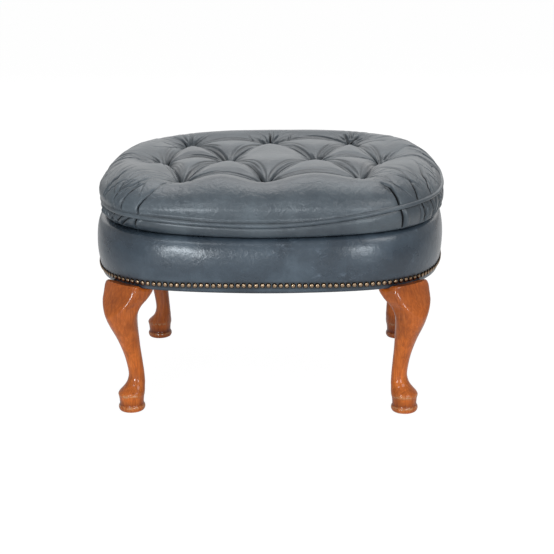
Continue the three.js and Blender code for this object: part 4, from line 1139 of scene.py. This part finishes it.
leg = {
    "sides": 40,
    "footX": 250,
    "footY": 211.5,
    "kneePower": 3.2,        # how square the knee is
    "innerCut": 0.84,        # of the half width, to the flat inner face and to the faces of the ears
    "earCut": 0.84,
    "earFrom": 0.62,         # share of the height where the ears start, and over which they grow
    "earOver": 0.24,
    "edge": 22.0,            # how sharply the faces meet
    "kneeStand": 8,          # how far the knee may stand out past the seat's side at its top
    "kneeSpread": 108,
    "rearShade": 0.38,       # painted shade on the rear legs, which stand in the seat's shade
    "lip": 6.5,              # the rise of the knee's top outside the leather, and where it starts
    "lipInset": 5.5,
    "lipFrom": 222,
    # height and radius of the turned foot
    "foot": [(0, 20.5), (1.5, 22.3), (4, 23.9), (7, 24.6), (10, 24.3), (12, 23.2), (13.2, 22.2), (14.5, 21.9),
             (20, 22.2), (26, 22.8), (29.5, 23.6), (31.5, 24.4), (34, 24.4)],
    # height, middle's way out, half width
    "rows": [(38, -1.6, 23.2), (42, -3.6, 21), (47, -6, 18.6), (52, -7.8, 17), (58.5, -8.9, 15.5), (71, -9.4, 14.3),
             (99, -6, 15.3), (120, -2.3, 17.3), (142, 2, 20.6), (170, 8.3, 26), (189, 10.4, 29.7), (203.3, 9, 35.7),
             (215.3, 5.2, 43.2), (227.2, 1.7, 48), (233, 0.6, 48.6), (237.4, 0, 46.4), (239.2, 0, 43)],
    # height, and how far the varnish is chipped there or how much shade is painted there
    "wear": [(0, 0.3), (1.5, 0.7), (4, 0.1), (7, 0.1), (10, 0.7), (12, 0.5), (13.2, 0), (26, 0), (29.5, 0.2),
             (31.5, 0.85), (34, 0.25), (38, 0)],
    "dark": [(11, 0), (13.2, 0.5), (16, 0.3), (24, 0), (110, 0), (180, 0.2), (235, 0.3)],
}


def legSection(height, sweep, half, sides):
    direction = 2 * math.pi * np.arange(sides) / sides
    outward, sideward = np.cos(direction), np.sin(direction)
    square = ease((height / seat["legHeight"] - 0.5) * 2)  # 0 where the leg is round, 1 at the knee's top
    power = 2 + (leg["kneePower"] - 2) * square
    side = half / (np.abs(outward) ** power + np.abs(sideward) ** power) ** (1 / power)
    middleX, middleY = leg["footX"] + sweep, leg["footY"] + sweep
    limit = -leg["kneeStand"] - leg["kneeSpread"] * (1 - height / seat["legHeight"])
    plan = findEdge(np.zeros(sides), np.full(sides, 400.0), lambda reach: isOnPlan(
        middleX + outward * reach, middleY + sideward * reach, limit, seat["frontPower"], seat["endPower"]), steps=40)
    inward = -(outward + sideward) / math.sqrt(2)
    cut = np.where(inward > 0.01, half * (2 + (leg["innerCut"] - 2) * square) / np.maximum(inward, 0.01), 900)
    earShare = ease((height / seat["legHeight"] - leg["earFrom"]) / leg["earOver"])
    across = np.abs(outward - sideward) / math.sqrt(2)
    ear = half * (2 + (leg["earCut"] - 2) * earShare) / np.maximum(across, 1e-6)
    reach = sum(face ** -leg["edge"] for face in (side, plan, cut, ear)) ** (-1 / leg["edge"])
    return middleX + outward * reach, middleY + sideward * reach


def makeLeg(name, sideX, sideY):
    sides = leg["sides"]
    rows = [(height, 0, radius) for height, radius in leg["foot"]]
    rows += [tuple(row) for row in splineRows(leg["rows"], 46)]
    rows.append((seat["legHeight"] + 0.2, rows[-1][1], rows[-1][2] - 6))
    deselectAll()
    bpy.ops.mesh.primitive_circle_add(vertices=sides, radius=rows[0][2] / 1000, fill_type="NGON",
                                      location=(leg["footX"] / 1000, leg["footY"] / 1000, 0))
    piece = bpy.context.object
    piece.name = name
    bpy.ops.object.transform_apply(location=True, rotation=True, scale=True)
    bpy.ops.object.mode_set(mode="EDIT")
    bpy.ops.mesh.select_all(action="SELECT")
    for row in range(1, len(rows)):
        rise = (rows[row][0] - rows[row - 1][0]) / 1000
        bpy.ops.mesh.extrude_region_move(TRANSFORM_OT_translate={"value": (0, 0, rise)})
    bpy.ops.object.mode_set(mode="OBJECT")
    points = getPoints(piece)
    heights = np.array([row[0] for row in rows])
    order = np.argmin(np.abs(points[:, 2][:, None] - heights[None, :]), axis=1)
    wear, dark = np.zeros(len(points)), np.zeros(len(points))
    for index, (height, sweep, half) in enumerate(rows):
        ring = np.where(order == index)[0]
        around = np.arctan2(points[ring, 1] - leg["footY"], points[ring, 0] - leg["footX"])
        number = np.round(np.mod(around, 2 * math.pi) / (2 * math.pi) * sides).astype(int) % sides
        x, y = legSection(height, sweep, half, sides)
        points[ring, 0], points[ring, 1], points[ring, 2] = x[number], y[number], height
        wear[ring] = np.interp(height, *zip(*leg["wear"]))
        # Painted shade: in the foot's groove, near the knee's top and over the rear legs
        dark[ring] = np.interp(height, *zip(*leg["dark"])) + leg["rearShade"] * (sideY > 0)
    points[:, 0] *= sideX
    points[:, 1] *= sideY
    # The top of the knee stands up a little in front of the leather
    outside = ease((leg["lipInset"] - insetAt(points[:, 0], points[:, 1])) / 3)
    points[:, 2] += leg["lip"] * outside * ease((points[:, 2] - leg["lipFrom"]) / (seat["legHeight"] - leg["lipFrom"]))
    setPoints(piece, points)
    paintShare(piece, "wearShare", wear)
    paintShare(piece, "creaseShadeShare", dark)
    alignNormals(piece)
    applyModifier(piece, "SUBSURF", levels=1, render_levels=1)
    bpy.ops.object.shade_smooth()
    return piece


for place, sideX, sideY in (("front_left", -1, -1), ("front_right", 1, -1), ("rear_left", -1, 1),
                            ("rear_right", 1, 1)):
    legPiece = makeLeg("leg_" + place + "_turned", sideX, sideY)
    legPiece.data.materials.append(stainedWood)
    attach(legPiece, "root")
    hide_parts("leg_" + place)
print("legs made")


def finishNode(name, material):
    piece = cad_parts[name]
    piece.data.materials.clear()
    piece.data.materials.append(material)


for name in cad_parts:
    if name.startswith(("rail_", "corner_block_")):
        finishNode(name, sawnBeech)
    elif name.startswith("webbing_"):
        finishNode(name, juteWeave)
    elif name == "dust_cover":
        finishNode(name, blackCambric)


studio = {
    "size": 24,              # metres
    "world": 0.1,            # light from all round, and as it is mirrored
    "sheen": 0.5,
    "floorGlow": 0.9,        # share of the floor's own light, to the camera and as it is mirrored
    "floorSheen": 0.2,
    "paper": 1.09,
    "coolLight": (0.88, 0.95, 1),
    "whiteLight": (1, 1, 1),
}
# Place and aim in metres, width and height, watts, color
lamps = {
    "keySoftbox": ((-0.85, -2.3, 2.1), (0, 0, 0.3), (0.9, 0.5), 9, "coolLight"),
    "fillSoftbox": ((1.6, -1.8, 1.9), (0, 0, 0.3), (1.2, 0.9), 14, "whiteLight"),
    "topSoftbox": ((0, 0.6, 2.4), (0, 0, 0.3), (1.8, 1.6), 22, "whiteLight"),
    "backWall": ((0, 2.8, 2.0), (0, 0, 0.4), (5, 3.2), 27, "whiteLight"),
    "lowLeftSoftbox": ((-0.9, -2.55, 0.48), (0, 0, 0.35), (0.5, 0.4), 20, "coolLight"),
    "lowRightSoftbox": ((1, -2.5, 0.55), (0, 0, 0.35), (0.5, 0.5), 12, "coolLight"),
}


def makeFloor():
    deselectAll()
    bpy.ops.mesh.primitive_plane_add(size=studio["size"], location=(0, 0, 0))
    floor = bpy.context.object
    floor.name = "studioFloor"
    material, tree, shader = newMaterial("whitePaperSweep")
    setInputs(tree, shader, {"Base Color": linear("#F2F2F2"), "Roughness": 0.9, "Specular IOR Level": 0.0})
    ray = addNode(tree, "ShaderNodeLightPath").outputs
    mirrored = addMath(tree, "MULTIPLY", ray["Is Glossy Ray"], studio["floorSheen"])
    seen = addMath(tree, "MAXIMUM", ray["Is Camera Ray"], mirrored)
    share = addMath(tree, "MULTIPLY", seen, studio["floorGlow"])
    glow = addNode(tree, "ShaderNodeEmission", {"Color": (1, 1, 1, 1), "Strength": studio["paper"]})
    mix = addNode(tree, "ShaderNodeMixShader", {0: share, 1: shader.outputs[0], 2: glow.outputs[0]})
    setInputs(tree, tree.nodes["Material Output"], {"Surface": mix.outputs[0]})
    floor.data.materials.append(material)


def makeWorld():
    world = bpy.data.worlds.new("studioWorld")
    bpy.context.scene.world = world
    world.use_nodes = True
    tree = world.node_tree
    ray = addNode(tree, "ShaderNodeLightPath").outputs
    lit = addNode(tree, "ShaderNodeMapRange", {"Value": ray["Is Glossy Ray"], "To Min": studio["world"],
                                               "To Max": studio["sheen"]}).outputs[0]
    strength = addNode(tree, "ShaderNodeMapRange", {"Value": ray["Is Camera Ray"], "To Min": lit, "To Max": 1.0})
    setInputs(tree, tree.nodes["Background"], {"Strength": strength.outputs[0], "Color": (1, 1, 1, 1)})


def makeLamp(name, place, aim, size, power, color):
    data = bpy.data.lights.new(name, "AREA")
    data.shape = "RECTANGLE"
    data.size, data.size_y = size
    data.energy = power
    data.color = studio[color]
    lamp = bpy.data.objects.new(name, data)
    bpy.context.scene.collection.objects.link(lamp)
    lamp.location = place
    lamp.rotation_euler = (Vector(aim) - Vector(place)).to_track_quat("-Z", "Y").to_euler()


makeFloor()
makeWorld()
for name, settings in lamps.items():
    makeLamp(name, *settings)
bpy.context.scene.view_settings.view_transform = "Standard"
print("studio made")
